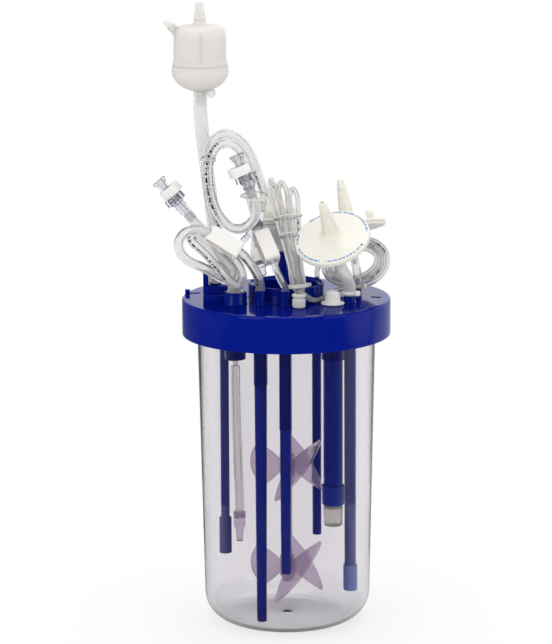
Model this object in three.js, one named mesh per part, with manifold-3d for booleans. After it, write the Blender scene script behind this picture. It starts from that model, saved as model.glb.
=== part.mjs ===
// Single-use bench bioreactor: a clear stirred vessel under a moulded port lid,
// with its filters, tubing and fittings.
// Millimetres, +Z up. The origin is the centre of the vessel's base.
// The front, where the dip tubes show, faces -Y.
import * as THREE from 'three'
import { mergeVertices } from 'three/addons/utils/BufferGeometryUtils.js'
import Module from 'manifold-3d'

const wasm = await Module()
wasm.setup()

// ---------- driving dimensions ----------
const fitGap = 0.3 // clearance between seated pieces
const runGap = 1.0 // clearance beside turning pieces

const vesselHeight = 264 // base to the top of the mouth flange
const vesselBaseRadius = 68.6 // outside, just above the rounded bottom edge
const vesselMouthRadius = 73.5 // outside, under the flange
const vesselWall = 2.5
const vesselCorner = 23 // outside radius of the bottom edge
const flangeReach = 7 // flange beyond the vessel's wall
const flangeThick = 3

const skirtGap = 2.2 // between the flange and the lid's rim
const lidSkirt = 30 // height of the lid's rim
const lidWall = 2.8
const lidPlate = 4
const lidEdge = 3 // rounding of the lid's top edge
const ribDepth = 6 // ring that centres the lid in the mouth
const ribThick = 2
const sealSection = 3.1 // diameter of the seal's cord

const wellRadius = 26 // bore that takes the motor's magnet head
const wellWall = 5
const wellRise = 12.3 // motor seat above the lid
const wellDepth = 26
const wellFloor = 6

const rotorRadius = 24
const rotorThick = 15
const rotorBoss = 10
const magnetInner = 13.3
const magnetOuter = 20.7
const magnetThick = 7.4
const pinRadius = 2.5
const bushRadius = 5.5
const shaftRadius = 4.5
const shaftEndZ = 31

const impellerRadius = 30
const impellerPitch = 48 // degrees from the horizontal
const impellerHubRadius = 6.2
const impellerHubLength = 17
const bladeThick = 2
const bladeHalfChord = 30.9
const impellerHeights = { lower: 43, upper: 129 }

const feedTube = 3.95 // radius of the thick silicone line
const harvestTube = 2.9
const sampleTube = 2.25
const exhaustTube = 5.45
const exhaustBore = 4.1

const filterRadius = 30.5
const filterRim = 2.5 // half the thickness of the disc's edge
const filterNozzle = 40 // disc plane to the upper nozzle's tip
const filterStem = 30 // disc plane to the lower nozzle's tip

const capsuleRadius = 21.4
const capsuleWall = 1.6
const collarReach = 1.4 // welded collar beyond the capsule's wall
const clampLength = 30
const clampWidth = 12.5
const clampDeep = 12 // outside height of the closed loop
const clampStrip = 2

// sizes that follow
const flangeRadius = vesselMouthRadius + flangeReach
const lidRadius = flangeRadius + skirtGap + lidWall
const capsuleCollar = capsuleRadius + collarReach
const lidUnder = vesselHeight + sealSection + 2 * fitGap
const lidTop = lidUnder + lidPlate
const seatTop = lidTop + wellRise
const wellBottom = seatTop - wellDepth
const wellUnder = wellBottom - wellFloor
const rotorTop = wellUnder - runGap
const rotorUnder = rotorTop - rotorThick

// Places above the lid are written for a lid top of 271.7 and ride up and down with it.
const writtenLidTop = 271.7
const onLid = ([x, y, z]) => [x, y, z + lidTop - writtenLidTop]

// where each port stands on the lid
const ports = {
  sparge: { x: -21, y: -33 },
  harvest: { x: -1, y: -36.5 },
  level: { x: -51, y: -12 },
  ring: { x: -41.3, y: -30 },
  probe: { x: 37.5, y: -33 },
  overlay: { x: 51.5, y: -24.5 },
  vent: { x: 58.5, y: -5 },
  sample: { x: 25.5, y: 30 },
  tower: { x: -1.7, y: 42 },
  exhaust: { x: -57.5, y: -12 },
}

// ---------- finishes ----------
const plastic = (color, roughness, extra = {}) =>
  new THREE.MeshStandardMaterial({ color, roughness, metalness: 0, ...extra })
const clear = (color, roughness, opacity) => plastic(color, roughness, { transparent: true, opacity })
const finishes = {
  lidBlue: () => plastic(0x0a2f9e, 0.22),
  tubeBlue: () => plastic(0x0a1f80, 0.35),
  sleeveBlue: () => clear(0x2b3fa8, 0.3, 0.75),
  crystal: () => clear(0xf2f4f4, 0.05, 0.25),
  smoke: () => clear(0xa78fb0, 0.25, 0.6),
  silicone: () => clear(0xe6e4df, 0.3, 0.6),
  natural: () => plastic(0xe9e6df, 0.45),
  white: () => plastic(0xf6f5f3, 0.4),
  luerClear: () => clear(0xc9c6d8, 0.15, 0.6),
  seal: () => plastic(0xd9d6cf, 0.7),
  steel: () => new THREE.MeshStandardMaterial({ color: 0xb9bcc0, roughness: 0.3, metalness: 1 }),
  magnet: () => new THREE.MeshStandardMaterial({ color: 0x3b3d40, roughness: 0.5, metalness: 0.6 }),
}

// ---------- helpers ----------
const bioreactor = new THREE.Group()

// Turns a geometry's faces outward.
function outward(geometry) {
  const bare = new THREE.BufferGeometry().setAttribute('position', geometry.getAttribute('position'))
  if (geometry.index) bare.setIndex(geometry.index)
  const merged = mergeVertices(bare, 1e-3)
  const position = merged.getAttribute('position')
  const source = merged.index.array
  const kept = []
  let volume = 0
  const a = new THREE.Vector3()
  const b = new THREE.Vector3()
  const c = new THREE.Vector3()
  for (let i = 0; i < source.length; i += 3) {
    const [p, q, r] = [source[i], source[i + 1], source[i + 2]]
    if (p === q || q === r || r === p) continue
    kept.push(p, q, r)
    a.fromBufferAttribute(position, p)
    b.fromBufferAttribute(position, q)
    c.fromBufferAttribute(position, r)
    volume += a.dot(b.cross(c))
  }
  if (volume < 0) kept.reverse()
  merged.setIndex(kept)
  return merged
}

function toSolid(geometry) {
  const closed = outward(geometry)
  return new wasm.Manifold(new wasm.Mesh({
    numProp: 3,
    vertProperties: new Float32Array(closed.getAttribute('position').array),
    triVerts: new Uint32Array(closed.index.array),
  }))
}

function toGeometry(solid) {
  const mesh = solid.getMesh()
  const step = mesh.numProp
  const points = new Float32Array(mesh.numVert * 3)
  for (let i = 0; i < mesh.numVert; i++) {
    points.set(mesh.vertProperties.subarray(i * step, i * step + 3), i * 3)
  }
  const geometry = new THREE.BufferGeometry()
  geometry.setAttribute('position', new THREE.BufferAttribute(points, 3))
  geometry.setIndex(new THREE.BufferAttribute(new Uint32Array(mesh.triVerts), 1))
  return geometry
}

const joined = (...shapes) => toGeometry(shapes.map(toSolid).reduce((whole, next) => whole.add(next)))
const cut = (shape, ...tools) => (
  toGeometry(tools.map(toSolid).reduce((whole, tool) => whole.subtract(tool), toSolid(shape)))
)

// Segments round a circle of a given radius.
function roundness(radius) {
  if (radius > 60) return 44
  if (radius > 25) return 28
  if (radius > 12) return 20
  if (radius > 6) return 14
  return radius > 3 ? 10 : 8
}

// Revolves [radius, height] points round Z. The profile closes on the axis or on itself.
function turned(profile, segments) {
  const points = profile.map(([r, z]) => new THREE.Vector2(Math.max(r, 0), z))
  const last = profile.length - 1
  if (profile[0][0] > 0 || profile[last][0] > 0) points.push(points[0].clone())
  const widest = Math.max(...profile.map(([r]) => r))
  return outward(new THREE.LatheGeometry(points, segments ?? roundness(widest)).rotateX(Math.PI / 2))
}

const disc = (radius, low, high) => turned([[0, low], [radius, low], [radius, high], [0, high]])
const pipe = (outer, inner, low, high) => turned([[inner, low], [outer, low], [outer, high], [inner, high]])

// A round outline with a straight bore, from a list of outside [radius, height] points going up.
function bored(outline, bore) {
  const low = outline[0][1]
  const high = outline[outline.length - 1][1]
  return turned([[bore, low], ...outline, [bore, high]])
}

function arc(cr, cz, radius, from, to, steps) {
  const points = []
  for (let i = 0; i <= steps; i++) {
    const angle = THREE.MathUtils.degToRad(from + ((to - from) * i) / steps)
    points.push([cr + radius * Math.cos(angle), cz + radius * Math.sin(angle)])
  }
  return points
}

const box = (sx, sy, sz, x, y, z) => new THREE.BoxGeometry(sx, sy, sz).translate(x, y, z)

const turnTo = (direction) => {
  const unit = new THREE.Vector3(...direction).normalize()
  return new THREE.Quaternion().setFromUnitVectors(new THREE.Vector3(0, 0, 1), unit)
}

// Adds a named piece, standing at a point with its own Z along a direction.
function addPiece(name, geometry, material, at = [0, 0, 0], direction = [0, 0, 1], parent = bioreactor) {
  const mesh = new THREE.Mesh(geometry, material)
  mesh.name = name
  mesh.position.set(...at)
  mesh.quaternion.copy(turnTo(direction))
  parent.add(mesh)
  return mesh
}

function ringShape(radius, bore, sides) {
  const circle = (r) => Array.from({ length: sides }, (_, i) => {
    const angle = ((i + 0.5) / sides) * 2 * Math.PI
    return new THREE.Vector2(r * Math.cos(angle), r * Math.sin(angle))
  })
  const shape = new THREE.Shape(circle(radius))
  if (bore) shape.holes.push(new THREE.Path(circle(bore).reverse()))
  return shape
}

// A tube along a smooth curve through its points, solid or with a bore.
function tube(points, radius, steps, bore = 0, sides = 8) {
  const path = new THREE.CatmullRomCurve3(points.map((p) => new THREE.Vector3(...p)), false, 'centripetal')
  const options = { steps, extrudePath: path, curveSegments: 1 }
  return outward(new THREE.ExtrudeGeometry(ringShape(radius, bore, sides), options))
}

// A point at a distance from another, along a direction.
function along(from, direction, distance) {
  const unit = new THREE.Vector3(...direction).normalize()
  return [from[0] + unit.x * distance, from[1] + unit.y * distance, from[2] + unit.z * distance]
}

// ---------- vessel ----------
// A blown cup with a little draft, a rounded bottom edge and a flange round its mouth.
function vesselGeometry() {
  const under = vesselHeight - flangeThick
  const inner = vesselCorner - vesselWall
  const outside = [
    [0, 0],
    ...arc(vesselBaseRadius - vesselCorner, vesselCorner, vesselCorner, -90, 0, 5),
    [vesselMouthRadius, under],
    [flangeRadius, under],
    [flangeRadius, vesselHeight],
  ]
  const inside = [
    [vesselMouthRadius - vesselWall, vesselHeight],
    ...arc(vesselBaseRadius - vesselCorner, vesselCorner, inner, 0, -90, 4),
    [0, vesselWall],
  ]
  return turned([...outside, ...inside])
}
addPiece('vessel', vesselGeometry(), finishes.crystal())

// ---------- lid ----------
const mouthInner = vesselMouthRadius - vesselWall
const hole = (port, radius, low = wellUnder - 60, high = lidTop + 60) => (
  disc(radius, low, high).translate(port.x, port.y, 0)
)
const stand = (port, geometry) => geometry.translate(port.x, port.y, 0)

// The revolved form: plate, rounded rim, centring rib and the hole that takes the motor well.
function lidDish() {
  const ribOuter = mouthInner - fitGap
  const wellHole = wellRadius + wellWall + fitGap
  return turned([
    [wellHole, lidUnder],
    [ribOuter - ribThick, lidUnder],
    [ribOuter - ribThick, lidUnder - ribDepth],
    [ribOuter, lidUnder - ribDepth],
    [ribOuter, lidUnder],
    [lidRadius - lidWall, lidUnder],
    [lidRadius - lidWall, lidTop - lidSkirt],
    [lidRadius, lidTop - lidSkirt],
    ...arc(lidRadius - lidEdge, lidTop - lidEdge, lidEdge, 0, 90, 3),
    [wellHole, lidTop],
  ])
}

// A hose nipple on the lid: a plain foot, then a barb for the hose.
function nipple(port, foot, footHigh, barb, barbHigh, low = lidTop - 1) {
  const top = lidTop + footHigh
  const tip = top + barbHigh
  return stand(port, turned([
    [0, low], [foot, low], [foot, top - 0.4], [foot - 0.4, top], [barb - 0.5, top],
    [barb - 0.5, tip - 4], [barb, tip - 3.6], [barb - 0.7, tip], [0, tip],
  ]))
}

// A socket under the lid that a dip tube is pushed into.
const socket = (port, radius, low) => stand(port, disc(radius, low, lidUnder + 1))

const blockTop = lidTop + 13.2
// deep is how far a socket hangs below the lid.
const lidPorts = {
  sparge: {
    foot: 4.4, footHigh: 11.5, barb: 3.1, barbHigh: 9,
    bore: 1.7, socket: 5.65, deep: 62.7, neck: 4.3,
  },
  harvest: {
    foot: 3.7, footHigh: 11.8, barb: 2.3, barbHigh: 8,
    bore: 1.2, socket: 5.1, deep: 99.7, neck: 3.7,
  },
  level: { foot: 0, bore: 0, socket: 4.9, deep: 15.7, neck: 3.3 },
  overlay: {
    foot: 4.9, footHigh: 5.5, barb: 3.3, barbHigh: 12,
    bore: 1.7, socket: 5.3, deep: 23.7, neck: 3.9,
  },
  vent: {
    foot: 3.1, footHigh: 7.5, barb: 2, barbHigh: 8.5,
    bore: 1, socket: 4, deep: 9.7, neck: 0,
  },
  sample: {
    foot: 2.9, footHigh: 6, barb: 1.8, barbHigh: 5,
    bore: 0.9, socket: 4.8, deep: 21.7, neck: 3.4,
  },
}
const socketLow = (port) => lidUnder - port.deep
const ringOuter = 9.5
const ringBore = 7.9
const ringRise = 10.5
const ringLow = lidUnder - 41.7
const probeSocket = 9.4
const probeBore = 5.6
const probeLow = lidUnder - 41.7
const probeNeck = 7.2
const towerTop = lidTop + 30.3
const towerRadius = 5
const towerBore = 3.6
const neckLength = 12

// The stepped block at the left that carries the exhaust nipple, with the post beside it.
function exhaustBlock() {
  const { x, y } = ports.exhaust
  return [
    box(20, 18, 14.2, x, y - 0.5, blockTop - 7.1),
    box(17, 9, 8.2, x - 1.3, y - 13.5, lidTop + 3.1),
    box(4.4, 8, 11, x - 7.8, y - 5, blockTop + 5.4),
    nipple(ports.exhaust, 4.6, blockTop - lidTop + 1.2, 3.6, 12),
  ]
}

function lidGeometry() {
  const raised = [lidDish(), ...exhaustBlock()]
  const holes = [hole(ports.exhaust, 2.2)]
  for (const [name, p] of Object.entries(lidPorts)) {
    const port = ports[name]
    raised.push(socket(port, p.socket, socketLow(p)))
    if (p.foot) raised.push(nipple(port, p.foot, p.footHigh, p.barb, p.barbHigh))
    if (p.bore) holes.push(hole(port, p.bore, lidUnder - 5))
    const low = socketLow(p)
    if (p.neck) holes.push(hole(port, p.neck + fitGap, low - 5, low + neckLength + fitGap))
  }
  raised.push(stand(ports.ring, disc(ringOuter, ringLow + 30, lidTop + ringRise)))
  raised.push(stand(ports.ring, disc(ringOuter - 1, ringLow, lidTop)))
  raised.push(stand(ports.probe, disc(probeSocket, probeLow, lidTop)))
  raised.push(stand(ports.tower, disc(towerRadius, lidTop - 1, towerTop)))
  raised.push(box(4, 5, 6.8, -(lidRadius - 4.2), 13, lidTop + 0.4))
  holes.push(hole(ports.ring, ringBore, ringLow - 5))
  holes.push(hole(ports.probe, probeBore, probeLow - 5))
  holes.push(hole(ports.probe, probeNeck + fitGap, probeLow - 5, probeLow + neckLength + fitGap))
  holes.push(hole(ports.tower, towerBore, towerTop - 10, towerTop + 5))
  holes.push(hole(ports.tower, 1.5, lidUnder - 5))
  return cut(joined(...raised), ...holes)
}
addPiece('lid', lidGeometry(), finishes.lidBlue())

// The well that the motor's magnet head stands in, closed below, with a blind hole for the stirrer's pin.
function wellGeometry() {
  const outer = wellRadius + wellWall
  const pinHole = pinRadius + fitGap
  return turned([
    [pinHole, wellUnder],
    [outer - 2, wellUnder],
    [outer, lidUnder - 3],
    [outer, seatTop - 1],
    [outer - 1, seatTop],
    [wellRadius + 0.8, seatTop],
    [wellRadius, seatTop - 0.8],
    [wellRadius, wellBottom],
    [0, wellBottom],
    [0, wellUnder + 4],
    [pinHole, wellUnder + 4],
  ])
}
addPiece('motor_well', wellGeometry(), finishes.lidBlue())

function sealGeometry() {
  const middle = vesselHeight + fitGap + sealSection / 2
  return turned(arc((mouthInner + flangeRadius) / 2, middle, sealSection / 2, 0, 300, 5))
}
addPiece('lid_seal', sealGeometry(), finishes.seal())

// ---------- stirrer ----------
const bushTop = rotorTop - 3.7
const pinHeadTop = bushTop - 10.7
const shaftTop = pinHeadTop - 3.3
const rotorLow = rotorUnder - 10

addPiece('pivot_pin', turned([
  [0, pinHeadTop - 2], [pinRadius + 2, pinHeadTop - 2], [pinRadius + 2, pinHeadTop],
  [pinRadius, pinHeadTop], [pinRadius, wellUnder + 4 - fitGap], [0, wellUnder + 4 - fitGap],
]), finishes.steel())

addPiece('rotor_bush', pipe(bushRadius, pinRadius + fitGap, pinHeadTop + fitGap, bushTop), finishes.white())

// The magnet carrier: a thick disc with a ring groove on top, a bush bore and a socket for the shaft.
addPiece('rotor_hub', turned([
  [shaftRadius + fitGap, rotorLow],
  [rotorBoss, rotorLow],
  [rotorBoss, rotorUnder],
  [rotorRadius - 1.5, rotorUnder],
  [rotorRadius, rotorUnder + 1.5],
  [rotorRadius, rotorTop],
  [magnetOuter + fitGap, rotorTop],
  [magnetOuter + fitGap, rotorTop - magnetThick - fitGap],
  [magnetInner - fitGap, rotorTop - magnetThick - fitGap],
  [magnetInner - fitGap, rotorTop],
  [pinRadius + fitGap, rotorTop],
  [pinRadius + fitGap, bushTop + fitGap],
  [bushRadius + fitGap, bushTop + fitGap],
  [bushRadius + fitGap, shaftTop],
  [shaftRadius + fitGap, shaftTop],
]), finishes.white())
addPiece('rotor_magnet', pipe(magnetOuter, magnetInner, rotorTop - magnetThick, rotorTop), finishes.magnet())

addPiece('impeller_shaft', turned([
  [0, shaftEndZ], [shaftRadius - 1, shaftEndZ], [shaftRadius, shaftEndZ + 1],
  [shaftRadius, shaftTop - fitGap - 0.8], [shaftRadius - 0.8, shaftTop - fitGap], [0, shaftTop - fitGap],
]), finishes.smoke())

// One leaf-shaped blade in its own plane: x runs out from the shaft, y runs along the chord.
function bladeShape() {
  const pitch = THREE.MathUtils.degToRad(impellerPitch)
  const reach = (u) => Math.sqrt(impellerRadius ** 2 - (u * Math.cos(pitch)) ** 2)
  const root = impellerHubRadius - 1.5
  const tip = reach(bladeHalfChord)
  const flare = (u) => root + (tip - root) * Math.abs(u / bladeHalfChord) ** 1.6
  const steps = 10
  const outer = []
  const inner = []
  for (let i = 0; i <= steps; i++) {
    const u = bladeHalfChord * (-1 + (2 * i) / steps)
    outer.push(new THREE.Vector2(reach(u), u))
    if (i > 0 && i < steps) inner.unshift(new THREE.Vector2(flare(u), u))
  }
  return new THREE.Shape([...outer, ...inner])
}

// A hub with three pitched blades, moulded in one piece.
function impellerGeometry() {
  const pitch = THREE.MathUtils.degToRad(impellerPitch)
  const bladeAngles = [25, 145, 265]
  const blades = bladeAngles.map((degrees) => {
    const azimuth = THREE.MathUtils.degToRad(degrees - 90)
    const options = { depth: bladeThick, bevelEnabled: false, curveSegments: 1 }
    const blade = new THREE.ExtrudeGeometry(bladeShape(), options)
    return blade.translate(0, 0, -bladeThick / 2).rotateX(pitch).rotateZ(azimuth)
  })
  const half = impellerHubLength / 2
  const hub = turned([
    [0, -half], [impellerHubRadius - 0.8, -half], [impellerHubRadius, -half + 0.8],
    [impellerHubRadius, half - 0.8], [impellerHubRadius - 0.8, half], [0, half],
  ])
  return cut(joined(hub, ...blades), disc(shaftRadius + fitGap, -half - 5, half + 5))
}
for (const [place, height] of Object.entries(impellerHeights)) {
  addPiece(`${place}_impeller`, impellerGeometry(), finishes.smoke(), [0, 0, height])
}

// ---------- dip tubes ----------
// A dip tube: a neck pushed into its socket, then a body that tapers to its open end.
function dipTube(name, portName, topRadius, endRadius, endZ, bore, material) {
  const { neck } = lidPorts[portName]
  const { x, y } = ports[portName]
  const top = socketLow(lidPorts[portName]) - fitGap
  addPiece(name, bored([
    [endRadius, endZ], [topRadius, top], [neck, top],
    [neck, top + neckLength - 1], [neck - 0.6, top + neckLength],
  ], bore), material, [x, y, 0])
}
const floorZ = vesselWall
dipTube('sparge_tube', 'sparge', 5.1, 4, floorZ + 1.6, 2.4, finishes.tubeBlue())
dipTube('harvest_tube', 'harvest', 4.6, 4, 47, 2.2, finishes.tubeBlue())
dipTube('level_tube', 'level', 3.6, 3.6, 66, 2, finishes.tubeBlue())
dipTube('sample_dip_tube', 'sample', 3.95, 3.85, 61, 2, finishes.tubeBlue())
dipTube('overlay_tube', 'overlay', 4.75, 4.5, 37, 2.6, finishes.tubeBlue())

// A sleeve over a dip tube's end.
function tipSleeve(name, portName, tubeRadius, radius, low, high, inside) {
  const { x, y } = ports[portName]
  const over = tubeRadius + fitGap
  addPiece(name, turned([
    [inside, low], [radius, low], [radius, high], [over, high], [over, low + 7.5], [inside, low + 7.5],
  ]), finishes.sleeveBlue(), [x, y, 0])
}
tipSleeve('level_tip', 'level', 3.6, 5.1, 58, 88, 2.4)
tipSleeve('overlay_tip', 'overlay', 4.6, 5.6, 29.4, 51, 3)

// The probe well: a wide blue tube, a clear window sleeve and a white cap at the bottom.
const probeRadius = 7.75
const windowLow = 105
const windowHigh = 121
const probeAt = [ports.probe.x, ports.probe.y, 0]
addPiece('probe_well', bored([
  [probeRadius - 0.9, windowLow - 3],
  [probeRadius - 0.9, windowHigh - fitGap],
  [probeRadius, windowHigh + 0.6],
  [probeRadius, probeLow - fitGap],
  [probeNeck, probeLow - fitGap],
  [probeNeck, probeLow + neckLength],
], 5.4), finishes.tubeBlue(), probeAt)
addPiece('probe_window', bored([
  [8.7, windowLow], [9, windowLow + 1], [9, windowHigh],
], probeRadius - 0.9 + fitGap), finishes.sleeveBlue(), probeAt)
addPiece('probe_cap', turned([
  [0, windowLow - 18], [6.9, windowLow - 18], [7.4, windowLow - 17.2], [7.8, windowLow - fitGap],
  [6.9 + fitGap, windowLow - fitGap], [6.9 + fitGap, windowLow - 3.4], [0, windowLow - 3.4],
]), finishes.white(), probeAt)

// The hose that hangs in the ring port, its stopper and the fitting at its end.
const ringAt = [ports.ring.x, ports.ring.y, 0]
const stopperLow = ringLow + 2
const stopperTop = lidTop + ringRise + 0.6
const hoseEnd = [-38.7, -30, 93.5]
addPiece('ring_stopper', turned([
  [0, stopperLow - 8], [2.2, stopperLow - 8], [2.2, stopperLow], [ringBore - fitGap - 0.6, stopperLow],
  [ringBore - fitGap, stopperTop - 1.5], [ringBore - fitGap - 0.8, stopperTop], [2.6, stopperTop],
  [2.6, stopperTop + 6], [0, stopperTop + 6],
]), finishes.silicone(), ringAt)
addPiece('dip_hose', tube([
  [ports.ring.x, ports.ring.y, stopperLow - 8 - fitGap],
  [ports.ring.x, ports.ring.y, 200],
  [-40.8, -30, 170],
  [-39.8, -30, 140],
  [-38.9, -30, 110],
  hoseEnd,
], 3.65, 10), finishes.silicone())
addPiece('dip_hose_fitting', turned([
  [0, -20.3], [2.7, -20.3], [3.4, -8.5], [4.7, -7.5], [4.9, 4.2],
  [4 + fitGap, 4.2], [4 + fitGap, -fitGap], [0, -fitGap],
]), finishes.smoke(), hoseEnd)

// ---------- plug in the probe port ----------
addPiece('port_plug', turned([
  [0, lidTop - 9], [probeBore - fitGap - 0.5, lidTop - 9], [probeBore - fitGap, lidTop + fitGap],
  [9.4, lidTop + fitGap], [9.7, lidTop + 1], [9.4, lidTop + 1.9], [6.1, lidTop + 2.4], [5.9, lidTop + 8],
  ...arc(5.8 - 3.2, lidTop + 8.4, 3.2, 5, 90, 3), [0, lidTop + 11.6],
]), finishes.white(), probeAt)

// ---------- disc filters ----------
// A stepped hose nozzle from a foot radius to a tip radius, as outside points going away from the disc.
function nozzleSteps(from, to, foot, tip, steps) {
  const points = []
  for (let i = 0; i < steps; i++) {
    const z0 = from + ((to - from) * i) / steps
    const z1 = from + ((to - from) * (i + 1)) / steps
    const r0 = foot + ((tip - foot) * i) / steps
    const r1 = foot + ((tip - foot) * (i + 1)) / steps
    points.push([r0, z0 + 0.2], [r1, z1 - 0.2])
  }
  return points
}

// One half of a disc filter: flat rim, shallow cone and nozzle, hollow over the membrane.
function filterHalf(reach, foot, tip) {
  const outside = [
    [filterRadius, fitGap / 2],
    [filterRadius, filterRim - 0.7],
    [filterRadius - 1.2, filterRim],
    [foot + 2.6, filterRim + 3.2],
    [foot, filterRim + 6],
    ...nozzleSteps(filterRim + 6, reach, foot, tip, 3),
  ]
  const bore = Math.min(1.4, tip - 0.8)
  const inside = [[bore, reach - 0.2], [bore, 3], [filterRadius - 4, 1.2], [filterRadius - 4, fitGap / 2]]
  return turned([...outside, ...inside], 24)
}

// A small vent with a cap, standing on the shell.
function ventNub() {
  const reach = filterRadius * 0.62
  const top = filterRim + 9
  return turned([
    [0, 2], [2.6, 2], [2.6, top - 3], [3.4, top - 2.8], [3.4, top], [0, top],
  ], 10).translate(reach, 6, 0)
}

function discFilter(name, centre, axis, lowerFoot, lowerTip, vented) {
  const upper = filterHalf(filterNozzle, 6.3, 2.9)
  addPiece(`${name}_upper`, vented ? joined(upper, ventNub()) : upper, finishes.natural(), centre, axis)
  const lower = filterHalf(filterStem, lowerFoot, lowerTip)
  addPiece(`${name}_lower`, lower, finishes.natural(), centre, axis.map((v) => -v))
}

const frontFilterAt = onLid([37.3, -50, 328.3])
const frontFilterAxis = [-0.218, -0.523, 0.827]
discFilter('front_filter', frontFilterAt, frontFilterAxis, 4.6, 2.9, false)
const backFilterAt = onLid([51.4, 4, 328])
const backFilterAxis = [-0.17, 0.27, 0.948]
discFilter('back_filter', backFilterAt, backFilterAxis, 3.4, 1.8, true)

// Hoses from the lid's nipples to the filters' lower nozzles, open inside.
function filterHose(name, portName, centre, axis, bends, radius, bore) {
  const { x, y } = ports[portName]
  const foot = lidTop + lidPorts[portName].footHigh + fitGap
  const down = axis.map((v) => -v)
  addPiece(name, tube([
    [x, y, foot], [x, y, foot + 8], ...bends,
    along(centre, down, filterStem + 4), along(centre, down, filterStem - 6),
  ], radius, 12, bore, 8), finishes.silicone())
}
const overlayHose = 5.1
const ventHose = 3.5
const overlayBend = [onLid([50.3, -26.5, 293])]
const ventBend = [onLid([58.2, -5.2, 290])]
filterHose('front_filter_hose', 'overlay', frontFilterAt, frontFilterAxis, overlayBend, overlayHose, 3.7)
filterHose('back_filter_hose', 'vent', backFilterAt, backFilterAxis, ventBend, ventHose, 2.5)

// The filter on the tower: a deeper housing with a flanged seam.
const towerFilterAxis = [-0.17, -0.05, 0.984]
const towerFilterSeam = 29
const towerFilterAt = [ports.tower.x, ports.tower.y, towerTop]
addPiece('tower_filter_lower', turned([
  [0, -8], [1.6, -8], [towerBore - 2 * fitGap, 0.4], [5.2, 1.2], [5.6, 5], [14.2, 21], [14.8, 26],
  [17, 27], [17, towerFilterSeam], [12.6, towerFilterSeam], [12.6, 22.5], [5, 8.5], [0, 8.5],
], 20), finishes.natural(), along(towerFilterAt, towerFilterAxis, 1), towerFilterAxis)
addPiece('tower_filter_upper', turned([
  [17, towerFilterSeam + fitGap], [17, towerFilterSeam + 2.2],
  [14.8, towerFilterSeam + 3], [14.2, towerFilterSeam + 8],
  [6, towerFilterSeam + 14], ...nozzleSteps(towerFilterSeam + 14.5, towerFilterSeam + 33, 4.6, 2.4, 3),
  [1.2, towerFilterSeam + 32.8], [1.2, towerFilterSeam + 12],
  [12.6, towerFilterSeam + 5], [12.6, towerFilterSeam + fitGap],
], 20), finishes.natural(), along(towerFilterAt, towerFilterAxis, 1), towerFilterAxis)

// ---------- exhaust line and capsule filter ----------
const capsuleAt = onLid([-68.6, -5, 442])
const capsuleBoreLow = 12
addPiece('exhaust_hose', tube([
  [ports.exhaust.x, ports.exhaust.y, blockTop + 1.2 + fitGap],
  [ports.exhaust.x, ports.exhaust.y, blockTop + 14],
  onLid([-56, -11, 309]),
  onLid([-58.3, -9.5, 333]),
  onLid([-62.8, -7.5, 369.5]),
  onLid([-66.7, -6, 402]),
  onLid([-68.5, -5, 425]),
  [capsuleAt[0], capsuleAt[1], capsuleAt[2] - fitGap],
], exhaustTube, 16, exhaustBore, 10), finishes.silicone())

// The lower bowl: hose nozzle, drain nub and the wide collar that is welded to the housing.
function capsuleBowl() {
  const body = turned([
    [2, -capsuleBoreLow], [3, -capsuleBoreLow], [3.6, -8], [3.3, 0], [7, 0.3],
    [13.5, 2.6], [19, 6.6], [capsuleCollar, 13], [capsuleCollar, 20.2],
    [capsuleRadius - capsuleWall, 20.2], [capsuleRadius - capsuleWall, 14], [12.5, 4.8], [2, 2.4],
  ], 28)
  const nub = turned([[0, 0], [2.6, 0], [2.6, 2.2], [3.7, 2.6], [3.7, 5.6], [2.4, 6.4], [2.4, 8], [0, 8]], 12)
  return joined(body, nub.rotateX(Math.PI).translate(8.8, -5, 3.4))
}
addPiece('capsule_bowl', capsuleBowl(), finishes.natural(), capsuleAt)

const housingLow = 20.2 + fitGap
const capsuleTop = 54
const ventAxis = [-0.75, -0.12, 0.66]
const ventAt = [-(capsuleRadius - 5.2), -3, 46.4]
function capsuleHousing() {
  const body = turned([
    [capsuleRadius + 0.6, housingLow], [capsuleRadius + 0.6, 23.4],
    [capsuleRadius, 24.4], [capsuleRadius - 0.5, 43.5],
    ...arc(capsuleRadius - 8, 45.3, 7.6, 15, 75, 2), [6, capsuleTop],
    [4.4, 57.5], [4.8, 58], [4.6, 61.8], [3.4, 64.5], [3.4, 70.9],
    [1.8, 70.9], [1.8, capsuleTop - 2], [12, capsuleTop - 2.4],
    [capsuleRadius - 0.5 - capsuleWall, 43.8], [capsuleRadius - capsuleWall, housingLow],
  ], 28)
  const vent = turned([[0, -3], [4, -3], [4, 4.6], [3.4, 5.2], [0, 5.2]], 14)
  const inner = disc(1.2, -8, 8)
  const place = (g) => g.applyQuaternion(turnTo(ventAxis)).translate(...ventAt)
  return cut(joined(body, place(vent)), place(inner))
}
addPiece('capsule_housing', capsuleHousing(), finishes.natural(), capsuleAt)

// The vent valve's screw, which turns in the housing's vent boss.
const ventScrewAt = along(capsuleAt.map((v, i) => v + ventAt[i]), ventAxis, 5.2 + fitGap)
addPiece('vent_screw', turned([
  [0, 0], [3.3, 0], [3.5, 1], [3.2, 4.4], [2.4, 5.2], [2.2, 9.6], [1.6, 10.2], [0, 10.2],
], 12), finishes.natural(), ventScrewAt, ventAxis)

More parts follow.
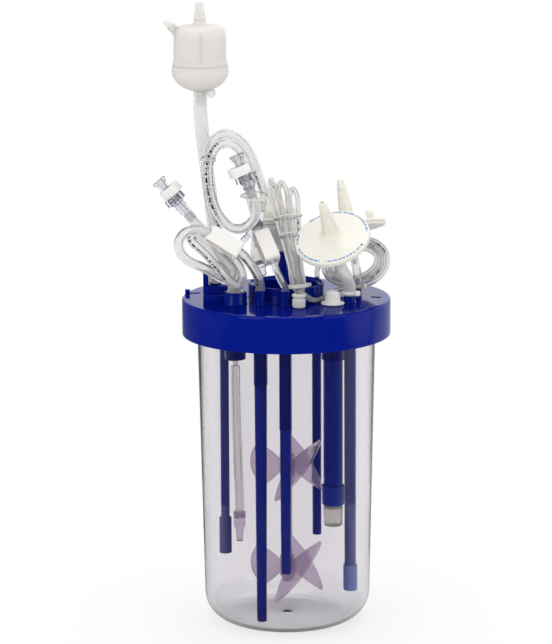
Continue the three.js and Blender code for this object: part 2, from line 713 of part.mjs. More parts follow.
// The pleated element round its core, standing in the capsule.
function pleatedElement() {
  const pleats = 20
  const outer = []
  for (let i = 0; i < pleats * 2; i++) {
    const radius = i % 2 ? capsuleRadius - 7.2 : capsuleRadius - capsuleWall - 1
    const angle = (i / (pleats * 2)) * 2 * Math.PI
    outer.push(new THREE.Vector2(radius * Math.cos(angle), radius * Math.sin(angle)))
  }
  const shape = new THREE.Shape(outer)
  shape.holes.push(new THREE.Path(ringShape(9, 0, 16).getPoints().reverse()))
  return outward(new THREE.ExtrudeGeometry(shape, { depth: 24, bevelEnabled: false, curveSegments: 1 }))
}
const elementAt = [capsuleAt[0], capsuleAt[1], capsuleAt[2] + 15.5]
addPiece('capsule_element', pleatedElement(), finishes.white(), elementAt)

// ---------- pinch clamps ----------
// A one-piece clamp: a bent strip with a pinching rib on each jaw and a latch at the free end.
function clampOutline() {
  const half = clampLength / 2
  const deep = clampDeep
  const strip = clampStrip
  const s = new THREE.Shape()
  s.moveTo(-half, -deep / 2 + 3)
  s.absarc(-half + 3, -deep / 2 + 3, 3, Math.PI, 1.5 * Math.PI, false)
  s.lineTo(half - 6, -deep / 2)
  s.absarc(half - 6, 0, 6, -Math.PI / 2, Math.PI / 2, false)
  s.lineTo(-half + 5, deep / 2)
  s.lineTo(-half + 3.4, deep / 2 - 2.6)
  s.lineTo(-half + 5.4, deep / 2 - 2.6)
  s.lineTo(-half + 6, deep / 2 - strip)
  s.lineTo(-1.6, deep / 2 - strip)
  s.lineTo(0, deep / 2 - strip - 1)
  s.lineTo(1.6, deep / 2 - strip)
  s.lineTo(half - 6, deep / 2 - strip)
  s.absarc(half - 6, 0, 6 - strip, Math.PI / 2, -Math.PI / 2, true)
  s.lineTo(1.6, -deep / 2 + strip)
  s.lineTo(0, -deep / 2 + strip + 1)
  s.lineTo(-1.6, -deep / 2 + strip)
  s.lineTo(-half + 3.4, -deep / 2 + strip)
  s.lineTo(-half + 2, -deep / 2 + strip + 1.4)
  s.lineTo(-half + 2, deep / 2 - 1.6)
  s.lineTo(-half, deep / 2 - 0.4)
  s.closePath()
  return s
}

// A clamp whose length runs along its own X, with holes at both ends for a tube of the given radius.
function clampGeometry(tubeRadius) {
  const options = { depth: clampWidth, bevelEnabled: false, curveSegments: 5 }
  const strip = new THREE.ExtrudeGeometry(clampOutline(), options)
  strip.translate(0, 0, -clampWidth / 2)
  const way = disc(tubeRadius + fitGap + 0.15, -clampLength, clampLength).rotateY(Math.PI / 2)
  return cut(strip, way)
}

// Adds a clamp between two points of its line, with its broad back facing a direction.
function addClamp(name, from, to, facing, tubeRadius) {
  const x = new THREE.Vector3(...to).sub(new THREE.Vector3(...from)).normalize()
  const back = new THREE.Vector3(...facing)
  const y = back.sub(x.clone().multiplyScalar(back.dot(x))).normalize().negate()
  const z = new THREE.Vector3().crossVectors(x, y)
  const mesh = addPiece(name, clampGeometry(tubeRadius), finishes.white())
  mesh.quaternion.setFromRotationMatrix(new THREE.Matrix4().makeBasis(x, y, z))
  mesh.position.set(...from.map((v, i) => (v + to[i]) / 2))
}

const feedClamp = { from: onLid([-37, -60, 319.7]), to: onLid([-62, -60, 336.3]) }
const harvestClamp = { from: onLid([-10.9, -42, 309.1]), to: onLid([-21.4, -24.8, 331.4]) }
addClamp('feed_clamp', feedClamp.from, feedClamp.to, [0.25, -1, 0.35], feedTube)
addClamp('harvest_clamp', harvestClamp.from, harvestClamp.to, [0.1, -0.8, 0.6], harvestTube)

// ---------- luer fittings ----------
const luerNeck = 2.7
const collarRadius = 6.6
const collarLong = 7.5
const collarFrom = 8.6 // from the open end to the collar
const wingReach = 10.4
const wingHalf = 5.6
const luerRing = collarFrom + collarLong + 2 * fitGap // where the ring with the lugs starts

// A tubing end: a lugged body that the tube is pushed on, with a lock collar that turns on its neck.
function addLuer(name, tip, end, wingAngle) {
  const direction = end.map((v, i) => v - tip[i])
  const length = Math.hypot(...direction)
  const seat = along(tip, direction, collarFrom + fitGap)
  addPiece(`${name}_collar`, collarGeometry().rotateZ(wingAngle), finishes.white(), seat, direction)
  addPiece(`${name}_body`, bodyGeometry(length), finishes.luerClear(), tip, direction)
}

// The collar: a ring with one flattened wing, so that fingers can turn it.
function collarGeometry() {
  const s = new THREE.Shape()
  s.absarc(0, 0, collarRadius, Math.PI / 3, (5 * Math.PI) / 3, false)
  s.lineTo(wingReach - 1.5, -wingHalf)
  s.lineTo(wingReach, -wingHalf + 1.5)
  s.lineTo(wingReach, wingHalf - 1.5)
  s.lineTo(wingReach - 1.5, wingHalf)
  s.closePath()
  s.holes.push(new THREE.Path(ringShape(luerNeck + fitGap, 0, 12).getPoints().reverse()))
  return outward(new THREE.ExtrudeGeometry(s, { depth: collarLong, bevelEnabled: false, curveSegments: 14 }))
}

// The body: a flared open end, a neck for the collar, a ring with four lugs, a plain barrel and a barb.
function bodyGeometry(length) {
  const barrel = turned([
    [0, 5], [1.9, 5], [2.2, 0], [6, 0], [6, 1], [4.4, 4], [3.9, collarFrom], [luerNeck, collarFrom],
    [luerNeck, luerRing], [5.6, luerRing], [5.6, luerRing + 7], [4.6, luerRing + 8],
    [4.4, length - 8], [3, length - 7.6], [3, length], [0, length],
  ], 14)
  const lug = (i) => box(4.2, 3.6, 6, 6.6, 0, luerRing + 3.3).rotateZ((i * Math.PI) / 2 + 0.4)
  const lugs = [0, 1, 2, 3].map(lug)
  return joined(barrel, ...lugs)
}

const feedLuer = { tip: onLid([-102.2, -30.6, 373.1]), end: onLid([-74.4, -30.6, 340.9]) }
const loopLuer = { tip: onLid([-39.4, -46, 395.7]), end: onLid([-26, -46, 361.3]) }
addLuer('feed_luer', feedLuer.tip, feedLuer.end, 3.6)
addLuer('loop_luer', loopLuer.tip, loopLuer.end, -0.4)

// ---------- line manifold and what hangs from it ----------
const manifoldAt = onLid([-22.9, -15, 332.5])
const manifoldEnds = {
  left: onLid([-27.4, -15, 352.5]),
  right: onLid([-18.7, -15, 352.5]),
  stub: onLid([-35.4, -15, 320.5]),
  drop: onLid([-23.9, -14.5, 316]),
  inlet: onLid([-22.1, -22, 332.7]),
}
function manifoldGeometry() {
  const arm = (end, radius) => {
    const way = end.map((v, i) => v - manifoldAt[i])
    const length = Math.hypot(...way)
    return turned([
      [0, 0], [radius, 0], [radius, length - 7],
      [radius - 0.9, length - 6.6], [radius - 0.9, length], [0, length],
    ], 10).applyQuaternion(turnTo(way))
  }
  const { left, right, stub, drop, inlet } = manifoldEnds
  const core = new THREE.SphereGeometry(5.4, 12, 8)
  return joined(core, arm(left, 3.3), arm(right, 3.3), arm(stub, 3.6), arm(drop, 3.4), arm(inlet, 2.4))
}
addPiece('line_manifold', manifoldGeometry(), finishes.luerClear(), manifoldAt)

const dropEnd = onLid([-22.3, -10, 302.5])
const dropWay = [0.26, 0.25, -0.93]
addPiece('drop_hose', tube([
  along(manifoldEnds.drop, [-0.06, 0, -1], 0.5), onLid([-24.2, -14.4, 311.5]),
  along(dropEnd, dropWay, -4), dropEnd,
], 4.4, 6), finishes.silicone())
addPiece('drop_fitting', turned([
  [0, fitGap], [5, fitGap], [5, 5.4], [3.6, 6], [3.6, 11.6], [2.6, 12.4], [0, 12.4],
], 14), finishes.luerClear(), dropEnd, dropWay)

const sampleEndAt = [10.2, -47, lidTop + fitGap]
addPiece('sample_end_fitting', turned([
  [0, 0], [4.4, 0], [5.3, 1], [5.4, 7], [4.4, 7.6], [4.4, 9], [5.6, 9.4], [5.6, 11.2], [4.6, 11.8], [0, 11.8],
], 16), finishes.natural(), sampleEndAt)

// ---------- free lines ----------
// Feed line: from its nipple through the clamp, two long turns beside the exhaust, then up to its luer.
addPiece('feed_line', tube([
  onLid([-21, -33, 292.7]),
  onLid([-21.2, -34.2, 298]),
  onLid([-23.5, -41, 306]),
  onLid([-28.5, -51, 313]),
  onLid([-33, -58, 317.3]),
  feedClamp.from,
  onLid([-49.5, -60, 328]),
  feedClamp.to,
  onLid([-66, -59.6, 338.8]),
  onLid([-71.5, -58, 340]),
  onLid([-76, -56.3, 337]),
  onLid([-78.2, -55.75, 332.5]),
], feedTube, 24), finishes.silicone())

// A flat coil: a long loop with round ends, as wide as one tube and as deep as its turns.
function longCoil(halfLong, halfShort, width, depth) {
  const outline = (long, short) => {
    const s = new THREE.Path()
    s.absarc(long - short, 0, short, -Math.PI / 2, Math.PI / 2, false)
    s.absarc(-(long - short), 0, short, Math.PI / 2, 1.5 * Math.PI, false)
    s.closePath()
    return s
  }
  const ring = new THREE.Shape(outline(halfLong, halfShort).getPoints(8))
  ring.holes.push(outline(halfLong - width, halfShort - width))
  const body = new THREE.ExtrudeGeometry(ring, { depth, bevelEnabled: false, curveSegments: 8 })
  return outward(body.translate(0, 0, -depth / 2))
}
const feedCoilShape = longCoil(32, 17, 2 * feedTube, 4 * feedTube)
const feedCoil = addPiece('feed_coil', feedCoilShape, finishes.silicone(), onLid([-62.5, -43.5, 311]))
feedCoil.rotation.set(Math.PI / 2, THREE.MathUtils.degToRad(33), 0, 'YXZ')

addPiece('feed_tail', tube([
  onLid([-57.4, -38.5, 333.8]), onLid([-63.2, -35, 337.2]),
  along(feedLuer.end, [27.8, 0, -32.2], 5), along(feedLuer.end, [27.8, 0, -32.2], 0.5),
], feedTube, 6), finishes.silicone())

// Harvest line: from its nipple through the clamp to the manifold.
addPiece('harvest_line', tube([
  onLid([-1, -36.5, 292.1]),
  onLid([-1.6, -37.6, 295.2]),
  onLid([-4, -41.8, 298.6]),
  onLid([-7, -44.9, 302.4]),
  onLid([-9.3, -44.5, 305.9]),
  harvestClamp.from,
  onLid([-16.15, -33.4, 320.25]),
  harvestClamp.to,
  onLid([-21.8, -24.1, 332.4]),
], harvestTube, 18), finishes.silicone())

// Port line: from the ring port up round the big loop to the manifold.
addPiece('port_line', tube([
  [ports.ring.x, ports.ring.y, stopperTop + 6.5],
  onLid([-41.9, -29.7, 294]),
  onLid([-45.5, -27.5, 302]),
  onLid([-49, -25, 311]),
  onLid([-52.5, -23.5, 322.5]),
  onLid([-56.5, -22, 334.5]),
  onLid([-60.5, -21, 350.5]),
  onLid([-63.2, -21, 366.5]),
  onLid([-64.2, -21, 383]),
  onLid([-62, -21, 396]),
  onLid([-56.5, -21, 405.5]),
  onLid([-48, -21, 409.3]),
  onLid([-38.5, -21, 405.5]),
  onLid([-31, -21, 397]),
  onLid([-25.3, -20.8, 385]),
  onLid([-21, -19, 371.5]),
  along(manifoldEnds.right, [0.205, 0, 0.98], 6),
  along(manifoldEnds.right, [0.205, 0, 0.98], 0.5),
], feedTube, 34), finishes.silicone())

// Loop line: from the manifold round inside the port line to the loop luer.
addPiece('loop_line', tube([
  along(manifoldEnds.left, [-0.22, 0, 0.975], 0.5),
  along(manifoldEnds.left, [-0.22, 0, 0.975], 6),
  onLid([-28.8, -20.5, 365]),
  onLid([-28.2, -27, 373.5]),
  onLid([-29.2, -30.4, 383]),
  onLid([-33, -30.6, 393]),
  onLid([-40, -30.3, 401]),
  onLid([-47.5, -30.2, 403.3]),
  onLid([-54.5, -30.2, 401]),
  onLid([-60, -30.2, 393]),
  onLid([-62.3, -30.2, 382]),
  onLid([-61.5, -30.4, 368]),
  onLid([-58.2, -31, 354]),
  onLid([-52.5, -32.5, 343]),
  onLid([-45, -35.5, 336]),
  onLid([-37, -40, 335]),
  onLid([-29.8, -44, 339]),
  onLid([-24.8, -45.6, 346]),
  along(loopLuer.end, [13.4, 0, -34.4], 6),
  along(loopLuer.end, [13.4, 0, -34.4], 0.5),
], feedTube, 32), finishes.silicone())

// Sample line: from the rear nipple into the round coil, then across the lid and up into the hank.
// The coil stands on its edge behind the two filter hoses, its turns fanned out flat.
const sampleCoil = { at: onLid([56.3, 15.5, 296.3]), long: [0.96, 0, 0.28], short: [-0.2721, 0.235, 0.9331] }
const coilLong = 30
const coilShort = 22.3
const coilBand = 12.5 // width of the fanned turns
const coilDeep = 9.4
function ovalCoil() {
  const oval = (a, b) => new THREE.EllipseCurve(0, 0, a, b).getPoints(26).slice(0, 26)
  const ring = new THREE.Shape(oval(coilLong, coilShort))
  ring.holes.push(new THREE.Path(oval(coilLong - coilBand, coilShort - coilBand).reverse()))
  const body = new THREE.ExtrudeGeometry(ring, { depth: coilDeep, bevelEnabled: false, curveSegments: 1 })
  return outward(body.translate(0, 0, -coilDeep / 2))
}
const sampleCoilPiece = addPiece('sample_coil', ovalCoil(), finishes.silicone(), sampleCoil.at)
const coilX = new THREE.Vector3(...sampleCoil.long).normalize()
const coilZ = new THREE.Vector3().crossVectors(coilX, new THREE.Vector3(...sampleCoil.short)).normalize()
const coilY = new THREE.Vector3().crossVectors(coilZ, coilX)
sampleCoilPiece.quaternion.setFromRotationMatrix(new THREE.Matrix4().makeBasis(coilX, coilY, coilZ))
addPiece('sample_lead', tube([
  [ports.sample.x, ports.sample.y, lidTop + 11 + fitGap],
  onLid([25.6, 30, 287.5]),
  onLid([27.5, 27.5, 292.5]),
  onLid([31.2, 22.8, 292.6]),
], sampleTube, 6), finishes.silicone())
addPiece('sample_link', tube([
  onLid([37.5, 4.6, 276.3]),
  onLid([36.6, -3, 274.6]),
  onLid([34.7, -10, 274.3]),
  onLid([31, -17.5, 274.3]),
  onLid([27, -25, 274.3]),
  onLid([22.5, -31, 274.6]),
  onLid([18.6, -35, 277.6]),
], sampleTube, 10), finishes.silicone())

// The hank: narrow loops tied near their feet, standing on the end fitting.
function hankShape() {
  const s = new THREE.Shape()
  s.absarc(0, 4.6, 4.6, Math.PI, 2 * Math.PI, false)
  s.lineTo(6.2, 40)
  s.lineTo(12.6, 76)
  s.absarc(7, 80, 6, -0.3, Math.PI * 0.6, false)
  s.absarc(-6.5, 84, 6, Math.PI * 0.4, Math.PI, false)
  s.lineTo(-6, 46)
  s.closePath()
  return s
}
const hankFoot = onLid([10.4, -46, 286.6])
const hankTop = onLid([-1, -3, 371])
const hankOptions = { depth: 9, bevelEnabled: false, curveSegments: 5 }
const hankBody = outward(new THREE.ExtrudeGeometry(hankShape(), hankOptions).translate(0, 0, -4.5))
const hank = addPiece('sample_hank', hankBody, finishes.silicone(), hankFoot)
const hankUp = new THREE.Vector3(...hankTop).sub(new THREE.Vector3(...hankFoot)).normalize()
const hankFront = new THREE.Vector3(0.05, -1, 0)
hankFront.sub(hankUp.clone().multiplyScalar(hankFront.dot(hankUp))).normalize()
const hankSide = new THREE.Vector3().crossVectors(hankUp, hankFront)
hank.quaternion.setFromRotationMatrix(new THREE.Matrix4().makeBasis(hankSide, hankUp, hankFront))

// ---------- cable ties ----------
// A tie: a thin band round a bundle with its square head.
function addTie(name, radius, at, direction, headAngle) {
  const band = pipe(radius + 1.1, radius, -1.3, 1.3)
  const head = box(3.6, 4.4, 4, radius + 2.4, 0, 0).rotateZ(headAngle)
  addPiece(name, cut(joined(band, head), disc(radius, -5, 5)), finishes.white(), at, direction)
}
const tieHigh = 2.4 // from a hose's end to its tie
function tieAt(portName) {
  const { x, y } = ports[portName]
  return [x, y, lidTop + lidPorts[portName].footHigh + fitGap + tieHigh]
}
addTie('front_hose_tie', overlayHose + fitGap, tieAt('overlay'), [0, 0, 1], -0.7)
addTie('back_hose_tie', ventHose + fitGap, tieAt('vent'), [0, 0, 1], -0.6)

export default bioreactor
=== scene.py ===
import math

import bmesh
import bpy
from mathutils import Matrix, Vector


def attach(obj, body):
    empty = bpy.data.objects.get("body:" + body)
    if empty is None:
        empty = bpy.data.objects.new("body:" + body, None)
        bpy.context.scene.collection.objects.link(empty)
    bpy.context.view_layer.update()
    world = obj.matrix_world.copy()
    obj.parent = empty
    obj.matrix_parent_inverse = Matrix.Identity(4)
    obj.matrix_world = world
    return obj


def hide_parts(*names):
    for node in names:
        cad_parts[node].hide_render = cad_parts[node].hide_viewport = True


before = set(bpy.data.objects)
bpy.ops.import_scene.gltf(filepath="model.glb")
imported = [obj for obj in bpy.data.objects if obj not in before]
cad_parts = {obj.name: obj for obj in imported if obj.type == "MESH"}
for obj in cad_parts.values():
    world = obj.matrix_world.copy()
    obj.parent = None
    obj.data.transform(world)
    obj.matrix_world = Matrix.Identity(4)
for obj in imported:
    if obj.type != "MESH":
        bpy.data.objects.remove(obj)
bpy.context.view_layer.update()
scene = bpy.context.scene
print("frame loaded:", len(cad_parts), "nodes")

mm = 0.001  # every size below is in millimetres

camera = {"place": (0, -2273.5, 720.8), "tiltDown": 0.204, "roll": -0.004, "lens": 157.96, "shiftX": -0.01606}
lamps = {
    # name: place, aimed at, size, watts, colour
    "keyPanel": ((-1300, -1500, 1000), (0, 0, 260), (1000, 1200), 5, "#ffffff"),
    "fillPanel": ((1600, -1100, 700), (0, 0, 240), (900, 1200), 3.5, "#fbfcff"),
    "topPanel": ((0, 200, 1900), (0, 0, 280), (1300, 1100), 6.2, "#ffffff"),
    "rearPanel": ((300, 1300, 1900), (0, 0, 250), (1200, 900), 3.5, "#ffffff"),
}
studio = {
    "white": "#ffffff", "ambient": 0.88, "background": 1.0, "bounces": 24,
    # how bright a shine shows the dark of the room, its sides, its left side and the band on outer faces
    "lowReflection": 0.05, "sideReflection": 0.6, "leftReflection": 0.2, "outerShine": 0.5,
    # where each part of the room starts and where it is full, on a round room of radius 1
    "beside": (0.88, 0.99), "behind": (0.15, 0.5), "left": (-0.5, 0.2),
    "below": (0.1, -0.05), "above": (0.5, 0.3), "atTable": (-0.1, 0.1),
}
once = 0.5  # a depth above this means that the ray has bounced or passed through
times, most = {"operation": "MULTIPLY"}, {"operation": "MAXIMUM"}


def toLinear(colour):
    values = [int(colour[i:i + 2], 16) / 255 for i in (1, 3, 5)]
    return tuple(v / 12.92 if v <= 0.04045 else ((v + 0.055) / 1.055) ** 2.4 for v in values) + (1.0,)


def addNode(tree, kind, settings=None, links=None):
    # A link comes from a socket, or from the first output of a node.
    node = tree.nodes.new("ShaderNode" + kind)
    for key, value in (settings or {}).items():
        if isinstance(key, int) or key in node.inputs:
            node.inputs[key].default_value = value
        else:
            setattr(node, key, value)
    for key, source in (links or {}).items():
        socket = source if isinstance(source, bpy.types.NodeSocket) else source.outputs[0]
        tree.links.new(socket, node.inputs[key])
    return node


def softStep(start, end, low=0.0, high=1.0):
    return {
        "interpolation_type": "SMOOTHSTEP", "From Min": start, "From Max": end, "To Min": low, "To Max": high}


def sortRays(tree):
    # Which rays are seen straight or through clear pieces, which are mirrored, which are within clear pieces.
    rays = addNode(tree, "LightPath")
    mirrors, clears = rays.outputs["Glossy Depth"], rays.outputs["Transmission Depth"]
    bounces = addNode(tree, "Math", {"operation": "ADD"}, {0: mirrors, 1: rays.outputs["Diffuse Depth"]})
    seen = addNode(tree, "Math", {"operation": "LESS_THAN", 1: once}, {0: bounces})
    mirrored, within = (addNode(tree, "Math", {"operation": "GREATER_THAN", 1: once}, {0: depth})
                        for depth in (mirrors, clears))
    return seen, mirrored, within


def makeCamera():
    data = bpy.data.cameras.new("camera")
    data.sensor_fit = "VERTICAL"
    data.sensor_height = 36
    data.lens = camera["lens"]
    data.shift_x = camera["shiftX"]
    data.clip_end = 20
    holder = bpy.data.objects.new("camera", data)
    tilt = Matrix.Rotation(math.pi / 2 - camera["tiltDown"], 4, "X")
    turn = tilt @ Matrix.Rotation(camera["roll"], 4, "Z")
    holder.matrix_world = Matrix.Translation(Vector(camera["place"]) * mm) @ turn
    scene.collection.objects.link(holder)
    scene.camera = holder


def makeLamps():
    for name, (place, aim, size, watts, colour) in lamps.items():
        data = bpy.data.lights.new(name, "AREA")
        data.shape = "RECTANGLE"
        data.size, data.size_y = size[0] * mm, size[1] * mm
        data.energy = watts
        data.color = toLinear(colour)[:3]
        holder = bpy.data.objects.new(name, data)
        holder.location = Vector(place) * mm
        holder.rotation_euler = ((Vector(aim) - Vector(place)).to_track_quat("-Z", "Y")).to_euler()
        scene.collection.objects.link(holder)


def makeWorld():
    world = bpy.data.worlds.new("studio")
    scene.world = world
    world.use_nodes = True
    tree = world.node_tree
    tree.nodes.clear()
    seen, mirrored, within = sortRays(tree)
    where = addNode(tree, "TexCoord").outputs["Generated"]
    x, y, z = addNode(tree, "SeparateXYZ", links={0: where}).outputs
    # What shines is the white room at both sides, overhead and low behind; the rest lies in half light.
    sideways = addNode(tree, "Math", {"operation": "ABSOLUTE"}, {0: x})
    away = addNode(tree, "Math", most, {0: sideways, 1: z})
    beside = addNode(tree, "MapRange", softStep(
        *studio["beside"], 0, studio["sideReflection"]), {"Value": away})
    behind = addNode(tree, "MapRange", softStep(*studio["behind"]), {"Value": y})
    # On an outer face the bright band lies just above the table, inside clear pieces below it.
    below = addNode(tree, "MapRange", softStep(*studio["below"]), {"Value": z})
    above = addNode(tree, "MapRange", softStep(*studio["above"]), {"Value": z})
    atTable = addNode(tree, "MapRange", softStep(*studio["atTable"], studio["outerShine"]), {"Value": z})
    band = addNode(tree, "Math", times, {0: above, 1: atTable})
    height = addNode(tree, "Mix", {"data_type": "FLOAT"}, {0: within, 2: band, 3: below})
    low = addNode(tree, "Math", times, {0: behind, 1: height})
    bright = addNode(tree, "Math", most, {0: beside, 1: low})
    left = addNode(tree, "MapRange", softStep(*studio["left"], studio["leftReflection"]), {"Value": x})
    kept = addNode(tree, "Math", most, {0: within, 1: left})
    share = addNode(tree, "Math", times, {0: bright, 1: kept})
    room = addNode(tree, "MapRange", {"To Min": studio["lowReflection"], "To Max": studio["background"]},
                   {"Value": share})
    white = toLinear(studio["white"])
    soft = addNode(tree, "Background", {"Color": white, "Strength": studio["ambient"]})
    shine = addNode(tree, "Background", {"Color": white}, {"Strength": room})
    plain = addNode(tree, "Background", {"Color": white, "Strength": studio["background"]})
    lit = addNode(tree, "MixShader", links={0: mirrored, 1: soft, 2: shine})
    mixed = addNode(tree, "MixShader", links={0: seen, 1: lit, 2: plain})
    addNode(tree, "OutputWorld", links={"Surface": mixed})


makeCamera()
makeLamps()
makeWorld()
scene.view_settings.view_transform = "Standard"
scene.cycles.max_bounces = studio["bounces"]
scene.cycles.transmission_bounces = studio["bounces"]
print("camera, lamps and world ready")


def startMaterial(name):
    material = bpy.data.materials.new(name)
    material.use_nodes = True
    material.node_tree.nodes.clear()
    return material, material.node_tree


def makeMaterial(name, shader, colours, patches, relief, stretch=None, shine=None, marks=None):
    # Each patch is the width of its spots in millimetres and its detail. The first mixes the two colours,
    # the last makes the relief, which is a strength and a depth in millimetres.
    material, tree = startMaterial(name)
    surface = addNode(tree, "BsdfPrincipled", shader)
    where = addNode(tree, "TexCoord").outputs["Object"]
    if stretch:
        where = addNode(tree, "Mapping", {"Scale": stretch}, {"Vector": where})
    patterns = [addNode(tree, "TexNoise", {"Scale": 1 / mm / size, "Detail": detail}, {"Vector": where})
                for size, detail in patches]
    if colours:
        first, second = (toLinear(colour) for colour in colours)
        mix = addNode(tree, "Mix", {"data_type": "RGBA", 6: first, 7: second}, {0: patterns[0]})
        colour = marks(tree, surface, mix.outputs[2]) if marks else mix.outputs[2]
        tree.links.new(colour, surface.inputs["Base Color"])
    if shine:
        roughness = addNode(
            tree, "MapRange", {"To Min": shine[0], "To Max": shine[1]}, {"Value": patterns[0]})
        tree.links.new(roughness.outputs[0], surface.inputs["Roughness"])
    strength, depth = relief
    bump = addNode(tree, "Bump", {"Strength": strength, "Distance": depth * mm}, {"Height": patterns[-1]})
    tree.links.new(bump.outputs[0], surface.inputs["Normal"])
    addNode(tree, "OutputMaterial", links={"Surface": surface})
    return material


tubePrint = {"ink": "#1b1b22", "dash": 0.5, "share": 0.49, "halfHeight": 0.034}
discPrint = {
    "ink": "#2b7fc0", "radius": 28.3, "halfHeight": 0.8, "dash": (22, 1, 0.47), "group": (1.4, 0, 0.43)}


def dashesAlong(tree, surface, colour):
    # A row of plain dashes along a tube, about 1.6 mm high, where the map says half way round.
    where = addNode(tree, "UVMap", {"uv_map": "run"})
    along, around, _ = addNode(tree, "SeparateXYZ", links={0: where}).outputs
    cells = addNode(tree, "TexNoise", {
        "noise_dimensions": "1D", "Scale": tubePrint["dash"], "Detail": 1}, {"W": along})
    inked = addNode(tree, "Math", {"operation": "GREATER_THAN", 1: tubePrint["share"]}, {0: cells})
    row = addNode(tree, "Math", {"operation": "COMPARE", 1: 0.5, 2: tubePrint["halfHeight"]}, {0: around})
    marks = addNode(tree, "Math", times, {0: inked, 1: row})
    through = surface.inputs["Transmission Weight"]
    solid = addNode(tree, "MapRange", {"To Min": through.default_value, "To Max": 0.0}, {"Value": marks})
    tree.links.new(solid.outputs[0], through)
    ink = toLinear(tubePrint["ink"])
    return addNode(tree, "Mix", {"data_type": "RGBA", 7: ink}, {0: marks, 6: colour}).outputs[2]


def dashesRound(tree, surface, colour):
    # A broken ring of blue dashes inside the rim, on the upper face only.
    where = addNode(tree, "TexCoord").outputs["Object"]
    x, y, z = addNode(tree, "SeparateXYZ", links={0: where}).outputs
    flat = addNode(tree, "CombineXYZ", links={0: x, 1: y})
    far = addNode(tree, "VectorMath", {"operation": "LENGTH"}, {0: flat}).outputs["Value"]
    radius, half = discPrint["radius"] * mm, discPrint["halfHeight"] * mm
    marks = addNode(tree, "Math", {"operation": "COMPARE", 1: radius, 2: half}, {0: far})
    upper = addNode(tree, "Math", {"operation": "GREATER_THAN", 1: half}, {0: z})
    marks = addNode(tree, "Math", times, {0: marks, 1: upper})
    angle = addNode(tree, "Math", {"operation": "ARCTAN2"}, {0: y, 1: x})
    for scale, detail, share in (discPrint["dash"], discPrint["group"]):
        cells = addNode(tree, "TexNoise", {
            "noise_dimensions": "1D", "Scale": scale, "Detail": detail}, {"W": angle})
        inked = addNode(tree, "Math", {"operation": "GREATER_THAN", 1: share}, {0: cells})
        marks = addNode(tree, "Math", times, {0: marks, 1: inked})
    ink = toLinear(discPrint["ink"])
    return addNode(tree, "Mix", {"data_type": "RGBA", 7: ink}, {0: marks, 6: colour}).outputs[2]


# Injection-moulded clear polystyrene: a hard bright shine and a slow ripple left by the mould.
finishes = {"crystal": makeMaterial("clearPolystyrene", {
    "Base Color": toLinear("#f3f1f4"), "Roughness": 0.02, "IOR": 1.59,
    "Transmission Weight": 1.0}, None, [(38, 1)], (0.15, 0.25))}

# Injection-moulded polycarbonate in solid blue: glossy, with faint flow marks.
finishes["lid"] = makeMaterial(
    "mouldedPolycarbonateBlue", {"IOR": 1.36}, ("#00147a", "#011a8a"), [(16, 2), (7, 1)], (0.05, 0.15),
    shine=(0.06, 0.12))

# Extruded blue polypropylene: a softer shine with fine lines along its length.
finishes["rod"] = makeMaterial(
    "extrudedPolypropyleneBlue", {"IOR": 1.49, "Roughness": 0.3, "Specular IOR Level": 0.25},
    ("#001d9a", "#0023aa"), [(0.9, 1)], (0.06, 0.08), stretch=(1, 1, 0.02))

# Thin blue polypropylene sleeves. The pale one has a lighter blue painted for the light that comes through
# it.
thinShader = {"IOR": 1.49, "Roughness": 0.3, "Transmission Weight": 0.12, "Specular IOR Level": 0.2}
for key, name, *colours in (("sleeve", "thinPolypropyleneBlue", "#0f34b8", "#1b44c8"),
                            ("violetSleeve", "thinPolypropyleneViolet", "#2a18a4", "#3622b2"),
                            ("paleSleeve", "thinPolypropylenePale", "#6d8af2", "#819cf8")):
    finishes[key] = makeMaterial(name, thinShader, colours, [(5, 2)], (0.05, 0.1))

# Extruded platinum silicone: a clear rubber with a slightly milky wall and faint draw lines.
# Each has its colour, how much light it lets through, its roughness, its IOR and its print.
for key, name, colour, through, roughness, bending, marks in (
        ("silicone", "extrudedSilicone", "#ffffff", 0.85, 0.07, 1.17, None),
        ("printedSilicone", "markedSilicone", "#ffffff", 0.82, 0.06, 1.25, dashesAlong),
        ("fineSilicone", "fineSilicone", "#ffffff", 0.84, 0.04, 1.3, dashesAlong),
        ("milkySilicone", "milkySilicone", "#fefefe", 0.66, 0.18, 1.16, None)):
    finishes[key] = makeMaterial(name, {
        "IOR": bending, "Transmission Weight": through, "Roughness": roughness,
        "Specular IOR Level": 0.6}, (colour, "#fbfaf8"), [(9, 2)], (0.03, 0.1), marks=marks)

# Moulded natural polypropylene: waxy, cream in thick places, with light under the skin.
waxShader = {"IOR": 1.49, "Roughness": 0.34, "Subsurface Weight": 0.35, "Subsurface Scale": 0.004,
             "Subsurface Radius": (1.0, 0.95, 0.85), "Transmission Weight": 0.08}
finishes["natural"] = makeMaterial(
    "naturalPolypropylene", waxShader, ("#f8f4ec", "#f0ebe0"), [(8, 2), (1.2, 1)], (0.04, 0.08))

# The same plastic, a little duller, with the print of a filter disc. Its colour is a little lighter than the
# natural one: painted light on the upper halves of the discs, which face the lamps.
finishes["marked"] = makeMaterial(
    "markedPolypropylene", {**waxShader, "Roughness": 0.36}, ("#fbf7ec", "#f4efe2"), [(8, 2), (1.2, 1)],
    (0.04, 0.08), marks=dashesRound)

# Thin moulded natural polypropylene: pale and misty, with the shapes behind it showing faintly.
mistShader = {"Roughness": 0.3, "Subsurface Weight": 0.2, "Subsurface Scale": 0.003,
              "Subsurface Radius": (1.0, 0.97, 0.92)}
for key, name, bending, through in (("frosted", "frostedPolypropylene", 1.3, 0.3),
                                    ("misty", "mistyPolypropylene", 1.1, 0.6)):
    finishes[key] = makeMaterial(name, {**mistShader, "IOR": bending, "Transmission Weight": through},
                                 ("#fdfaf7", "#f8f4ef"), [(10, 2), (1.2, 1)], (0.04, 0.08))

